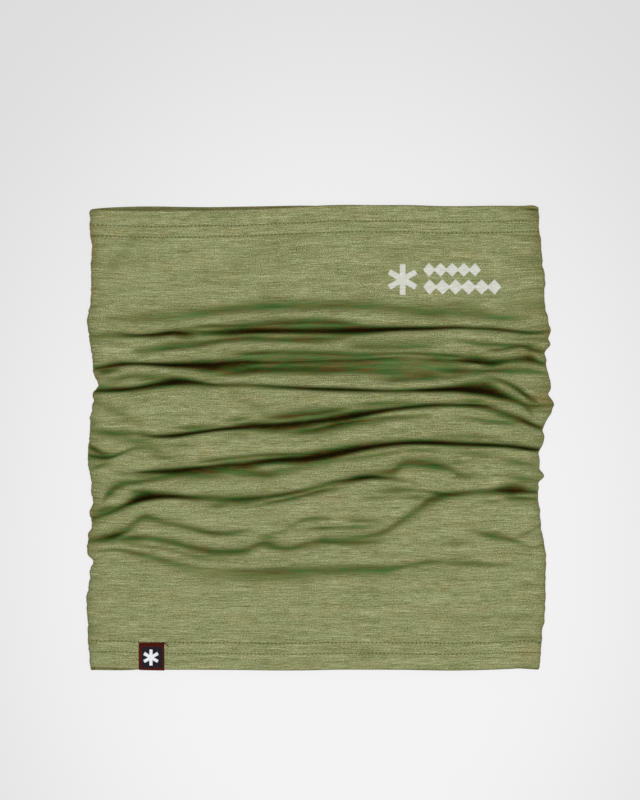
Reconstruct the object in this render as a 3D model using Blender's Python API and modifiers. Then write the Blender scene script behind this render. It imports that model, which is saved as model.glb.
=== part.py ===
"""Neck gaiter: a tube of light heathered jersey, laid flat and bunched across its middle.

Two panels make the tube. Their side edges turn inwards as seam allowances, bound with overlock
thread, and both ends are turned under and cover-stitched with two needle threads and a looper.
X runs across the tube, Y along it towards the printed end, and Z up from the surface it lies on.
Lengths are in millimetres here and become metres when a mesh or a curve is made.
"""
import math

import bmesh
import bpy
from mathutils import Vector

MM = 0.001

# Cloth
JERSEY = 0.8                 # thickness of one layer
GAP = 0.3                    # clearance between neighbouring pieces
LAYER = JERSEY + GAP         # from one layer's middle to the next one's
PANEL_TOP = 12.0             # middle of the front panel's cloth, away from the folds
EDGE_TOP = 5.55              # the same at the side seams
SHOULDER = 0.13              # share of the half width over which the front comes down to the seam
ALLOWANCE = 7.5              # width of a seam allowance
BACK_ALLOWANCE_Z = 2.4
FRONT_ALLOWANCE_Z = BACK_ALLOWANCE_Z + LAYER + 0.05

# Hems
HEM_DEPTH = 16.0
HEM_FOLD = LAYER / 2         # radius of the fold, in the middle of the cloth
FRONT_BOTTOM_Y = -126.0
BACK_TOP_Y = 126.7
BACK_BOTTOM_Y = -126.4
BACK_LIFT = 0.9              # the hemmed ends of the back sit up on their stitching
NEEDLE_OUTER = {"top": 9.6, "bottom": 8.4}
NEEDLE_GAUGE = 5.6           # between the two needle threads of a hem
LOOPER_PITCH = 8.0

# Threads
THREAD = 0.2                 # radius of sewing thread
OVERLOCK = 0.25              # radius of the bulkier overlock thread
OVERLOCK_PITCH = 9.0
OVERLOCK_END = 103.0         # the overlock runs between the two hems

# Fold-over label, 14 mm wide, over the bottom hem near the left seam
LABEL_X = -92.2
LABEL_WIDTH = 14.0
LABEL_TOP_Y = -111.7
LABEL_THICK = 0.4
LABEL_EDGE_Y = -126.9        # middle of the label's fold

# Print, in the flat zone below the top hem
PRINT_THICK = 0.3
PRINT_Z = PANEL_TOP + JERSEY / 2 + GAP + PRINT_THICK / 2
EMBLEM = (45.2, 86.6)
EMBLEM_ARM = 8.5
EMBLEM_BAR = 3.2

# Side outlines of the laid tube, from the top end to the bottom end, as (Y, X)
LEFT_SIDE = [(127, -125.4), (110, -125.1), (98, -124.4), (80, -125.0), (66, -126.8), (50, -124.8),
             (40, -123.8), (30, -121.2), (24, -123.6), (8, -125.8), (-8, -126.4), (-25, -124.4),
             (-40, -125.2), (-48, -124.0), (-60, -126.6), (-67, -124.0), (-80, -126.3),
             (-92, -127.6), (-110, -126.4), (-127, -124.9)]
RIGHT_SIDE = [(127, 119.6), (110, 120.6), (98, 122.0), (86, 123.3), (72, 123.0), (60, 125.6),
              (47, 123.2), (38, 123.8), (28, 126.4), (23, 124.6), (17, 127.6), (8, 122.8),
              (-4, 120.8), (-12, 119.8), (-21, 121.8), (-28, 119.8), (-45, 120.8), (-62, 123.4),
              (-88, 123.2), (-105, 121.8), (-127, 119.8)]

# Folds across the front, from the top end to the bottom end. Each line is the Y of a valley or
# a ridge at the five stations across the panel, and its height from the unfolded cloth.
STATIONS = [-110, -60, 0, 60, 110]
FOLDS = [
    ((66.5, 69.4, 73.0, 68.4, 65.0), -1.0),
    ((61.3, 64.2, 68.0, 64.3, 61.4), 2.2),
    ((56.6, 57.5, 58.6, 59.7, 57.4), -2.4),
    ((48.6, 49.4, 50.8, 53.2, 51.4), 3.0),
    ((40.3, 40.3, 39.6, 42.2, 42.6), -2.2),
    ((35.0, 33.8, 33.2, 33.0, 33.4), 2.6),
    ((25.8, 29.2, 26.8, 25.9, 19.6), -2.6),
    ((15.2, 17.8, 18.2, 22.2, 14.6), 3.4),
    ((3.3, 4.2, 8.8, 17.0, 9.4), -2.8),
    ((-6.0, -5.0, -1.0, 7.0, 2.2), 3.6),
    ((-20.0, -15.4, -10.6, -2.7, -6.0), -2.8),
    ((-27.5, -24.5, -18.5, -14.5, -17.6), 3.4),
    ((-38.5, -33.6, -26.3, -27.5, -29.2), -2.8),
    ((-45.2, -43.8, -41.2, -40.0, -43.0), 3.0),
    ((-52.5, -56.5, -56.0, -51.0, -55.5), -2.2),
    ((-57.2, -64.4, -64.6, -59.8, -62.4), 2.0),
    ((-61.8, -71.5, -71.8, -67.4, -69.5), -1.0),
]
SEAM_PUCKER = 0.35           # share of a ridge's height that reaches the seam's fold

# Columns of the front panel's grid, as shares of the half width
HALF_COLUMNS = [0.22, 0.44, 0.66, 0.86, 0.9, 0.95, 1]
FRONT_COLUMNS = [-u for u in reversed(HALF_COLUMNS)] + [0] + HALF_COLUMNS

KNIT = (0.235, 0.262, 0.118)
KNIT_THREAD = (0.300, 0.325, 0.165)


def rgb(red, green, blue):
    """An sRGB colour of 0 to 255 as linear values."""
    return tuple((c / 255) ** 2.2 for c in (red, green, blue))


def clear_scene():
    """Remove every object of the file it runs in."""
    for item in list(bpy.data.objects):
        bpy.data.objects.remove(item, do_unlink=True)


def smooth(t):
    """Ease from 0 to 1."""
    t = min(1.0, max(0.0, t))
    return t * t * (3 - 2 * t)


def through(xs, ys, x):
    """Read a curve drawn smoothly through the points (xs, ys), with xs rising."""
    if x <= xs[0]:
        return ys[0]
    if x >= xs[-1]:
        return ys[-1]
    k = max(i for i in range(len(xs) - 1) if xs[i] <= x)
    slopes = []
    for i in (k, k + 1):
        low, high = max(i - 1, 0), min(i + 1, len(xs) - 1)
        slopes.append((ys[high] - ys[low]) / (xs[high] - xs[low]))
    span = xs[k + 1] - xs[k]
    t = (x - xs[k]) / span
    return ((2 * t ** 3 - 3 * t ** 2 + 1) * ys[k] + (t ** 3 - 2 * t ** 2 + t) * span * slopes[0]
            + (3 * t ** 2 - 2 * t ** 3) * ys[k + 1] + (t ** 3 - t ** 2) * span * slopes[1])


def side_x(side, y):
    """X of the tube's edge at a height along it: side is -1 for left and 1 for right."""
    outline = LEFT_SIDE if side < 0 else RIGHT_SIDE
    rising = sorted(outline)
    return through([p[0] for p in rising], [p[1] for p in rising], y)


def across(u, y, inset=1.0):
    """X at the share u of the width, from -1 at the left fold to 1 at the right one."""
    left = side_x(-1, y) + inset
    right = side_x(1, y) - inset
    return left + (right - left) * (u + 1) / 2


def share(x, y):
    """The share of the width at X, the opposite of across()."""
    left, right = across(-1, y), across(1, y)
    return 2 * (x - left) / (right - left) - 1


def front_top_y(x):
    """The front's top edge sits a little lower than the back's at the left."""
    return 125.6 + 0.6 * math.sin(math.pi * x / 250)


def plateau(u):
    """Height of the unfolded front panel across its width."""
    return EDGE_TOP + (PANEL_TOP - EDGE_TOP) * smooth((1 - abs(u)) / SHOULDER)


def front_lines():
    """Lines across the front panel from top to bottom: a function for Y, and a height."""
    def fixed(y):
        return lambda x: y

    def fold(ys):
        return lambda x: through(STATIONS, ys, x)

    inner = FRONT_BOTTOM_Y + HEM_DEPTH
    lines = [(front_top_y, 0.0), (fixed(117.5), 0.0), (lambda x: front_top_y(x) - HEM_DEPTH, 0.0),
             (fixed(92.0), 0.0), (fixed(77.0), 0.0)]
    lines += [(fold(ys), lift) for ys, lift in FOLDS]
    lines += [(fixed(-81.0), 0.0), (fixed(-95.0), 0.0), (fixed(inner), 0.0),
              (fixed(-118.0), 0.0), (fixed(FRONT_BOTTOM_Y), 0.0)]
    return lines


def front_rows():
    """Rows of the front panel's grid: each lies at a share between two of its lines."""
    lines = front_lines()
    rows = [(lines[0], lines[0], 0.0)]
    for above, below in zip(lines, lines[1:]):
        deep = abs(above[1] - below[1]) > 2.5
        if deep:
            steps = (0.3, 0.7, 1.0)
        elif above[1] or below[1]:
            steps = (0.5, 1.0)
        else:
            steps = (1.0,)
        rows += [(above, below, step) for step in steps]
    return rows


def front_point(u, row):
    """A point in the middle of the front panel's cloth.

    A valley flattens out on the way down to the seam, and a ridge runs on almost to its fold.
    """
    above, below, t = row
    x = across(u, 0)
    y = above[0](x) * (1 - t) + below[0](x) * t
    ease = (1 - math.cos(math.pi * t)) / 2
    lift = above[1] * (1 - ease) + below[1] * ease
    if lift < 0:
        lift *= smooth((1 - abs(u)) / SHOULDER)
    else:
        lift *= SEAM_PUCKER + (1 - SEAM_PUCKER) * smooth((1 - abs(u)) / (SHOULDER / 2))
    return across(u, y), y, plateau(u) + lift


def back_height(y):
    """Height of the back panel's cloth: flat on the surface, and lifted at its hems."""
    hem = min(BACK_TOP_Y, -BACK_BOTTOM_Y) - HEM_DEPTH
    return JERSEY / 2 + BACK_LIFT * smooth((abs(y) - (hem - 6)) / 4)


def turned(edge_at, flat_at, sign, radius, turn, end):
    """Cross-section of an edge turned back on itself, from its raw end to its flat side.

    edge_at is the outermost point, flat_at the height of the flat side, sign the outward
    direction, turn -1 when it folds down and 1 when it folds up, and end the raw end.
    """
    centre = edge_at - sign * radius
    points = [(end, flat_at + turn * 2 * radius), (centre, flat_at + turn * 2 * radius)]
    for degrees in (-30, 30):
        angle = math.radians(degrees)
        points.append((centre + sign * radius * math.cos(angle),
                       flat_at + turn * radius * (1 - math.sin(angle))))
    return points


def sheet(name, columns, rows, inset, point, side_section, hem_section, colour):
    """A panel: a grid with both its side edges and both its ends turned in, given thickness."""
    turn = 4
    wide = len(columns) + 2 * turn
    high = len(rows) + 2 * turn
    bm = bmesh.new()
    bmesh.ops.create_grid(bm, x_segments=wide - 1, y_segments=high - 1, size=1.0)
    keep_left, keep_right = turn + inset, wide - 1 - turn - inset
    spare = []
    for vert in bm.verts:
        i = round((vert.co.x + 1) / 2 * (wide - 1))
        j = round((1 - vert.co.y) / 2 * (high - 1))
        on_hem = j < turn or j > high - 1 - turn
        if on_hem and not keep_left <= i <= keep_right:
            spare.append(vert)
            continue
        u = columns[min(max(i - turn, 0), len(columns) - 1)]
        row = rows[min(max(j - turn, 0), len(rows) - 1)]
        x, y, z = point(u, row)
        if on_hem:
            k = j if j < turn else high - 1 - j
            y, z = hem_section(x, y, z, 1 if j < turn else -1)[k]
        elif i < turn or i > wide - 1 - turn:
            k = i if i < turn else wide - 1 - i
            x, z = side_section(y, z, -1 if i < turn else 1)[k]
        if j in (turn, high - 1 - turn):
            y -= HEM_FOLD if j == turn else -HEM_FOLD
        vert.co = Vector((x, y, z)) * MM
    bmesh.ops.delete(bm, geom=spare, context="VERTS")
    mesh = bpy.data.meshes.new(name)
    bm.to_mesh(mesh)
    bm.free()
    item = bpy.data.objects.new(name, mesh)
    thick = item.modifiers.new("cloth", "SOLIDIFY")
    thick.thickness = JERSEY * MM
    thick.offset = 0.0
    thick.use_even_offset = True
    finish(item, colour, 0.95)
    return item


def finish(item, colour, roughness):
    """Give a piece its material, smooth shading, collection and parent."""
    material = bpy.data.materials.new(item.name)
    material.use_nodes = True
    shader = material.node_tree.nodes["Principled BSDF"]
    shader.inputs["Base Color"].default_value = (*colour, 1.0)
    shader.inputs["Roughness"].default_value = roughness
    shader.inputs["Metallic"].default_value = 0.0
    material.diffuse_color = (*colour, 1.0)
    item.data.materials.append(material)
    if item.type == "MESH":
        item.data.shade_smooth()
    GAITER.objects.link(item)
    item.parent = ROOT


def front_panel():
    """The upper half of the tube, with the folds across it."""
    def side(y, z, sign):
        radius = (z - FRONT_ALLOWANCE_Z) / 2
        edge = side_x(sign, y)
        return turned(edge, z, sign, radius, -1, edge - sign * ALLOWANCE)

    def hem(x, y, z, sign):
        return turned(y, z, sign, HEM_FOLD, -1, y - sign * HEM_DEPTH)

    return sheet("front_panel", FRONT_COLUMNS, front_rows(), 2, front_point, side, hem, KNIT)


def back_panel():
    """The lower half of the tube, lying flat."""
    columns = [-1, -0.9, -0.45, 0, 0.45, 0.9, 1]
    hem_end = BACK_TOP_Y - HEM_DEPTH
    rows = [BACK_TOP_Y, 118, hem_end, 108, 104, 98, 86, 72, 66, 60, 50, 40, 30, 24, 17, 8, -4, -12,
            -21, -28, -40, -48, -60, -67, -80, -92, -104, -108, BACK_BOTTOM_Y + HEM_DEPTH, -118,
            BACK_BOTTOM_Y]

    def point(u, y):
        return across(u, y, (BACK_ALLOWANCE_Z - back_height(y)) / 2), y, back_height(y)

    def side(y, z, sign):
        radius = (BACK_ALLOWANCE_Z - z) / 2
        edge = side_x(sign, y)
        return turned(edge, z, sign, radius, 1, edge - sign * ALLOWANCE)

    def hem(x, y, z, sign):
        return turned(y, z, sign, HEM_FOLD, 1, y - sign * HEM_DEPTH)

    return sheet("back_panel", columns, rows, 1, point, side, hem, KNIT)


def thread(name, points, radius, closed, colour=KNIT_THREAD, sides=0):
    """A thread: a round tube through the points."""
    curve = bpy.data.curves.new(name, "CURVE")
    curve.dimensions = "3D"
    curve.fill_mode = "FULL"
    curve.bevel_depth = radius * MM
    curve.bevel_resolution = sides
    curve.use_fill_caps = not closed
    spline = curve.splines.new("POLY")
    spline.points.add(len(points) - 1)
    for place, point in zip(spline.points, points):
        place.co = (*(c * MM for c in point), 1.0)
    spline.use_cyclic_u = closed
    item = bpy.data.objects.new(name, curve)
    finish(item, colour, 0.7)
    return item


def seam_thread(name, sign):
    """Overlock thread, back and forth round the raw edges of both seam allowances."""
    clear = JERSEY / 2 + GAP + OVERLOCK
    high = FRONT_ALLOWANCE_Z + clear
    low = BACK_ALLOWANCE_Z - clear
    count = round(2 * OVERLOCK_END / OVERLOCK_PITCH)
    points = []
    for k in range(count + 1):
        y = OVERLOCK_END - 2 * OVERLOCK_END * k / count
        edge = side_x(sign, y)
        raw = edge - sign * (ALLOWANCE + 2 * GAP + OVERLOCK)
        stroke = [(edge - sign * 3.2, y, high), (raw + sign * 0.5, y, high), (raw, y, high - 0.5),
                  (raw, y, low + 0.5), (raw + sign * 0.5, y, low), (edge - sign * 3.2, y, low)]
        points += stroke if k % 2 == 0 else stroke[::-1]
    return thread(name, points, OVERLOCK, False)


def stitch_row_y(end, offset, x):
    """Y of a stitch row at a distance in from the front's hem edge."""
    if end == "top":
        return front_top_y(x) - offset
    return FRONT_BOTTOM_Y + offset


def needle_thread(name, end, offset):
    """A needle thread: one ring round the outside of the tube."""
    clear = JERSEY / 2 + GAP + THREAD
    front = []
    for u in FRONT_COLUMNS[1:-1]:
        x = across(u, stitch_row_y(end, offset, across(u, 0)))
        front.append((x, stitch_row_y(end, offset, x), plateau(u) + clear))
    right = side_turn(end, offset, 1)
    left = side_turn(end, offset, -1)
    return thread(name, front + right + left[::-1], THREAD, True)


def side_turn(end, offset, sign):
    """The ring's way round one side of the tube, from the front down to the back."""
    y = stitch_row_y(end, offset, sign * 122)
    edge = side_x(sign, y)
    upper = (edge - sign * (EDGE_TOP - FRONT_ALLOWANCE_Z) / 2, (EDGE_TOP + FRONT_ALLOWANCE_Z) / 2)
    lower = (edge - sign * HEM_FOLD, JERSEY / 2 + BACK_LIFT + HEM_FOLD)
    points = []
    for (cx, cz), reach, angles in ((upper, 1.95, (90, 45, 0)), (lower, 1.45, (0, -45, -90))):
        for degrees in angles:
            angle = math.radians(degrees)
            points.append((cx + sign * reach * math.cos(angle), y, cz + reach * math.sin(angle)))
    return points


def looper_thread(name, end):
    """The looper thread: a zigzag between the two needle rows, inside the tube."""
    reach = 107.0
    clear = JERSEY / 2 + GAP + THREAD
    count = 2 * round(reach / LOOPER_PITCH)
    outer = NEEDLE_OUTER[end]
    points = []
    for layer in ("front", "back"):
        for k in range(count + 1):
            x = -reach + 2 * reach * k / count
            y = stitch_row_y(end, outer if k % 2 else outer + NEEDLE_GAUGE, x)
            if layer == "front":
                points.append((x, y, plateau(share(x, y)) - LAYER - clear))
            else:
                z = JERSEY / 2 + BACK_LIFT + LAYER + clear
                points.insert(0, (x, y, z))
    return thread(name, points, THREAD, True)


def hem_label():
    """A woven label folded over the bottom hem, one leaf outside and one inside."""
    over = JERSEY / 2 + 2 * GAP + 2 * THREAD + LABEL_THICK / 2
    outside = PANEL_TOP + over
    inside = PANEL_TOP - LAYER - over
    radius = (outside - inside) / 2
    bend_y = LABEL_EDGE_Y + radius
    profile = [(LABEL_TOP_Y, outside), ((LABEL_TOP_Y + bend_y) / 2, outside)]
    for degrees in (90, 60, 30, 0, -30, -60, -90):
        angle = math.radians(degrees)
        profile.append((bend_y - radius * math.cos(angle), outside - radius * (1 - math.sin(angle))))
    profile += [((LABEL_TOP_Y + bend_y) / 2, inside), (LABEL_TOP_Y, inside)]
    bm = bmesh.new()
    bmesh.ops.create_grid(bm, x_segments=2, y_segments=len(profile) - 1, size=1.0)
    for vert in bm.verts:
        j = round((1 - vert.co.y) / 2 * (len(profile) - 1))
        y, z = profile[j]
        vert.co = Vector((vert.co.x * LABEL_WIDTH / 2, y, z)) * MM
    mesh = bpy.data.meshes.new("hem_label")
    bm.to_mesh(mesh)
    bm.free()
    item = bpy.data.objects.new("hem_label", mesh)
    item.location.x = LABEL_X * MM
    thick = item.modifiers.new("weave", "SOLIDIFY")
    thick.thickness = LABEL_THICK * MM
    thick.offset = 0.0
    finish(item, rgb(35, 33, 42), 0.6)
    return item, outside


def label_stitching(outside):
    """The thread that holds the label along its top edge, with its loose tail."""
    z = outside + LABEL_THICK / 2 + GAP + THREAD
    y = LABEL_TOP_Y - 1.6
    left, right = LABEL_X - LABEL_WIDTH / 2 + 0.6, LABEL_X + LABEL_WIDTH / 2
    low = PANEL_TOP + JERSEY / 2 + GAP + THREAD
    points = [(left, y, z), (LABEL_X, y, z), (right - 0.4, y, z), (right + 0.5, y - 0.1, z - 0.2),
              (right + 0.8, y - 0.4, low + 0.5), (right + 1.5, y - 1.0, low)]
    return thread("label_stitching", points, THREAD, False, rgb(75, 34, 20), sides=2)


def film(name, centre, outline):
    """A thin bonded print with the given outline round its centre."""
    curve = bpy.data.curves.new(name, "CURVE")
    curve.dimensions = "2D"
    curve.fill_mode = "BOTH"
    curve.extrude = PRINT_THICK / 2 * MM
    curve.resolution_u = 1
    spline = curve.splines.new("POLY")
    spline.points.add(len(outline) - 1)
    for place, (x, y) in zip(spline.points, outline):
        place.co = (x * MM, y * MM, 0.0, 1.0)
    spline.use_cyclic_u = True
    item = bpy.data.objects.new(name, curve)
    item.location = Vector((centre[0], centre[1], PRINT_Z)) * MM
    finish(item, rgb(206, 207, 195), 0.55)
    return item


def star_outline():
    """Three bars crossing at their middles."""
    points = []
    for k in range(6):
        for forward, aside in ((EMBLEM_ARM, EMBLEM_BAR / 2), (EMBLEM_ARM, -EMBLEM_BAR / 2)):
            angle = math.radians(90 - 60 * k)
            points.append((forward * math.cos(angle) - aside * math.sin(angle),
                           forward * math.sin(angle) + aside * math.cos(angle)))
        notch = math.radians(60 - 60 * k)
        points.append((EMBLEM_BAR * math.cos(notch), EMBLEM_BAR * math.sin(notch)))
    return points


def lozenge_outline(width, height, count):
    """A chain of plain lozenges joined by short necks."""
    pitch = width / count
    neck = height * 0.09
    upper = [(-width / 2, 0.0)]
    for k in range(count):
        upper.append((-width / 2 + pitch * (k + 0.5), height / 2))
        if k < count - 1:
            upper.append((-width / 2 + pitch * (k + 1), neck))
    upper.append((width / 2, 0.0))
    lower = [(x, -y) for x, y in reversed(upper[1:-1])]
    return upper + lower


def centre_on_origin():
    """Put the middle of the whole object over the origin."""
    bpy.context.view_layer.update()
    graph = bpy.context.evaluated_depsgraph_get()
    low, high = [1e9, 1e9], [-1e9, -1e9]
    for item in GAITER.objects:
        if item.type == "EMPTY":
            continue
        shape = item.evaluated_get(graph)
        mesh = shape.to_mesh()
        for vert in mesh.vertices:
            place = item.matrix_world @ vert.co
            for axis in (0, 1):
                low[axis] = min(low[axis], place[axis])
                high[axis] = max(high[axis], place[axis])
        shape.to_mesh_clear()
    ROOT.location = (-(low[0] + high[0]) / 2, -(low[1] + high[1]) / 2, 0.0)


clear_scene()
GAITER = bpy.data.collections.new("neck_gaiter")
bpy.context.scene.collection.children.link(GAITER)
ROOT = bpy.data.objects.new("neck_gaiter", None)
GAITER.objects.link(ROOT)

front_panel()
back_panel()
seam_thread("left_seam_thread", -1)
seam_thread("right_seam_thread", 1)
for hem_end in ("top", "bottom"):
    first = NEEDLE_OUTER[hem_end]
    needle_thread(hem_end + "_hem_needle_thread_outer", hem_end, first)
    needle_thread(hem_end + "_hem_needle_thread_inner", hem_end, first + NEEDLE_GAUGE)
    looper_thread(hem_end + "_hem_looper_thread", hem_end)
label, label_height = hem_label()
label_stitching(label_height)
film("print_emblem", EMBLEM, star_outline())
film("print_band_upper", (72.3, 91.9), lozenge_outline(31.8, 7.8, 5))
film("print_band_lower", (77.8, 82.5), lozenge_outline(42.8, 8.6, 6))
centre_on_origin()
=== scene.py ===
"""Looks of the neck gaiter: a laid tube of heathered jersey, bunched across its middle.

Lengths are in millimetres in the plan below, in the CAD's own frame, and become metres when a
mesh is made. X runs across the tube, Y along it towards the printed end, and Z is up.
"""
import math

import bmesh
import bpy
import numpy as np
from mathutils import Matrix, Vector
from mathutils.bvhtree import BVHTree


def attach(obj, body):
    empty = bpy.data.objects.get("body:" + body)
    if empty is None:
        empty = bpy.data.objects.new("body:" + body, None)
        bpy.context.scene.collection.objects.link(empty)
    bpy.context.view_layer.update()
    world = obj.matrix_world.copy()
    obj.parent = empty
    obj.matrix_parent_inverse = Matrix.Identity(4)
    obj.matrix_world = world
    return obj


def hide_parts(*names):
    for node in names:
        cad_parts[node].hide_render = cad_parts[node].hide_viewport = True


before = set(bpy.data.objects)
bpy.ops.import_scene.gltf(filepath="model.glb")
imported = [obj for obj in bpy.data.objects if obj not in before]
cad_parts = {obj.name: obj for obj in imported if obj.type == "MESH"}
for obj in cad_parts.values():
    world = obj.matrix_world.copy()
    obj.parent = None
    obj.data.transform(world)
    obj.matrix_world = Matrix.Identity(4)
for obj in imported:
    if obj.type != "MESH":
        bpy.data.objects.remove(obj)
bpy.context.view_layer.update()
MM = 0.001

# ---------------------------------------------------------------- plan of the laid tube

CLOTH = 0.7                  # thickness of the jersey
CENTRE_X = -1.5
HALF_X, HALF_Y = 124.0, 127.0    # half the plan's width and length
FLAT_TOP = 11.0              # middle of the front's cloth in the flat zones
BUNCH_LIFT = 1.6             # how much higher it lies in the bunched middle
BUNCH_TOP, BUNCH_BOTTOM = 86.0, -90.0    # Y where the bunched middle begins
FADE_TOP, FADE_BOTTOM = 26.0, 28.0       # and how far on it is fully bunched
SEAM_Z = 3.6                 # where the two panels meet
OUT = {"left": 0.8, "right": 0.45, "top": 0.6, "bottom": 0.5}   # outlines lie outside the plan
SEAM_IN = 7.0                # width of the seam allowances
HEM_IN = 16.0                # depth of the turned-up hems
FOLD_R = 0.6                 # radius of the fold at a hem's edge

COLUMNS = 125                # of a panel's grid, from side to side
CROWDING = 0.25              # how much closer together they are at the sides
FRONT_ROWS, BACK_ROWS = 344, 230
DENSE_ROWS_Y = 80.0          # the rows are closer together within this Y
END_ROWS = 0.208             # rows of each flat end, for each row of the middle
UV_UNIT = 100.0              # mm of cloth in a unit of the UV map

GAUGE = 6.0                  # between the two needle rows of a hem
PITCH = 2.2                  # stitch length
STITCH_GAP = 0.28            # from a needle hole to the dash that shows
FIRST_ROW = {"top": 8.8, "bottom": 9.0}
NEEDLE_R, LOOPER_R, OVERLOCK_R = 0.16, 0.14, 0.15    # thread radii
OVERLOCK_END = 106.0         # the overlock runs between the hems, to this Y

LABEL_X0, LABEL_TOP = -99.2, -112.1      # the label's upper left corner
LABEL_WIDTH, LABEL_DROP = 14.0, 14.8
LABEL_X1 = LABEL_X0 + LABEL_WIDTH
LABEL_BORDER = (1.7, 1.0, 2.3, 0.9)      # left, right, top, bottom
LABEL_LIFT, LABEL_THICK = 0.3, 0.4
LABEL_FACE = LABEL_LIFT + LABEL_THICK / 2
LABEL_COLUMNS, LABEL_ROWS = 29, 28
LABEL_INSIDE = 14.0          # how far it reaches up inside the tube
LABEL_THREAD_R = 0.22
RIB, WARP = 0.21, 0.24       # half pitches of the label's weave
MARK_CENTRE = (-92.5, -120.3)
FILM_THICK, PRINT_LIFT = 0.1, 0.07
NECK = 0.09                  # half width of a lozenge chain's necks, for its height

# Side outlines of the laid tube, as (Y, X)
LEFT = [(127, -125.8), (120, -125.7), (111, -125.4), (107, -124.7), (100, -124.8), (95, -125.2),
        (85, -125.1), (75, -125.4), (70, -126.1), (65, -127.2), (60, -126.8), (55, -126),
        (50, -125.3), (45.5, -124.6), (40, -124.1), (35, -123.6), (31, -121.7), (28.5, -121.2),
        (26, -122.8), (24, -124.2), (20, -123.5), (16, -124.4), (8, -125.7), (4, -125.5),
        (-1, -126), (-8.5, -126.9), (-17, -126.3), (-23.5, -124.9), (-29.5, -125), (-37, -124.1),
        (-40, -125.5), (-43, -125.6), (-46, -124.6), (-50, -125), (-53, -126.6), (-57, -126.5),
        (-61, -127.3), (-64.7, -126.5), (-67.2, -124.2), (-71.4, -125.2), (-80.5, -126.1),
        (-87, -127.6), (-92, -127.4), (-100.7, -127), (-110.8, -126.7), (-117.5, -126.2),
        (-127, -125.6)]
RIGHT = [(127, 119.4), (120, 120.1), (112.7, 119.9), (107.7, 121), (103.5, 121.5), (99.3, 121.7),
         (91, 122.7), (86.7, 123.4), (80, 122.9), (72, 123.4), (65, 124.7), (57.5, 126.3),
         (54.5, 125.2), (51, 126.2), (46.5, 122.9), (42, 123.9), (39, 123.9), (35, 125.1),
         (28, 126.3), (24, 125.2), (20, 127.5), (18, 128.1), (15, 127.2), (10, 124.6), (5, 122.1),
         (0, 122.7), (-4, 121.7), (-7.2, 120), (-12.7, 120.4), (-17.7, 120.2), (-21.5, 122.8),
         (-24, 120.3), (-28, 119.6), (-33.6, 119.5), (-41, 120.5), (-49.6, 121), (-56.3, 122.3),
         (-63, 123.6), (-75, 123.6), (-88, 123.5), (-96.5, 123.1), (-105, 122.2), (-113, 121.2),
         (-121.4, 120.7), (-127, 120.4)]
# End outlines, as (X, Y)
FRONT_TOP = [(-126, 124.4), (-115, 124.2), (-100, 123.9), (-60, 124.1), (-45, 124.4), (-30, 124.9),
             (-10, 125.9), (2, 126.6), (38, 126.8), (50, 126.8), (60, 126.4), (108, 126.4),
             (120, 126.2)]
FRONT_BOTTOM = [(-126, -125.7), (-112, -125.7), (-100, -126.3), (-55, -126.7), (-8, -127),
                (8, -126.7), (57, -126.9), (70, -127.1), (95, -126.6), (105, -126.2),
                (113, -125.8), (121, -126.4)]
BACK_TOP = [(-126, 125.2), (-118, 125.9), (-105, 126.5), (-60, 126.3), (-35, 126.7), (-5, 127.1),
            (12, 126.6), (120, 126.3)]
BACK_BOTTOM = [(-126, -127.6), (-116, -127.8), (-104, -127.7), (-95, -126.8), (0, -126.6),
               (100, -126.6), (112, -126.9), (121, -127.4)]

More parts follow.
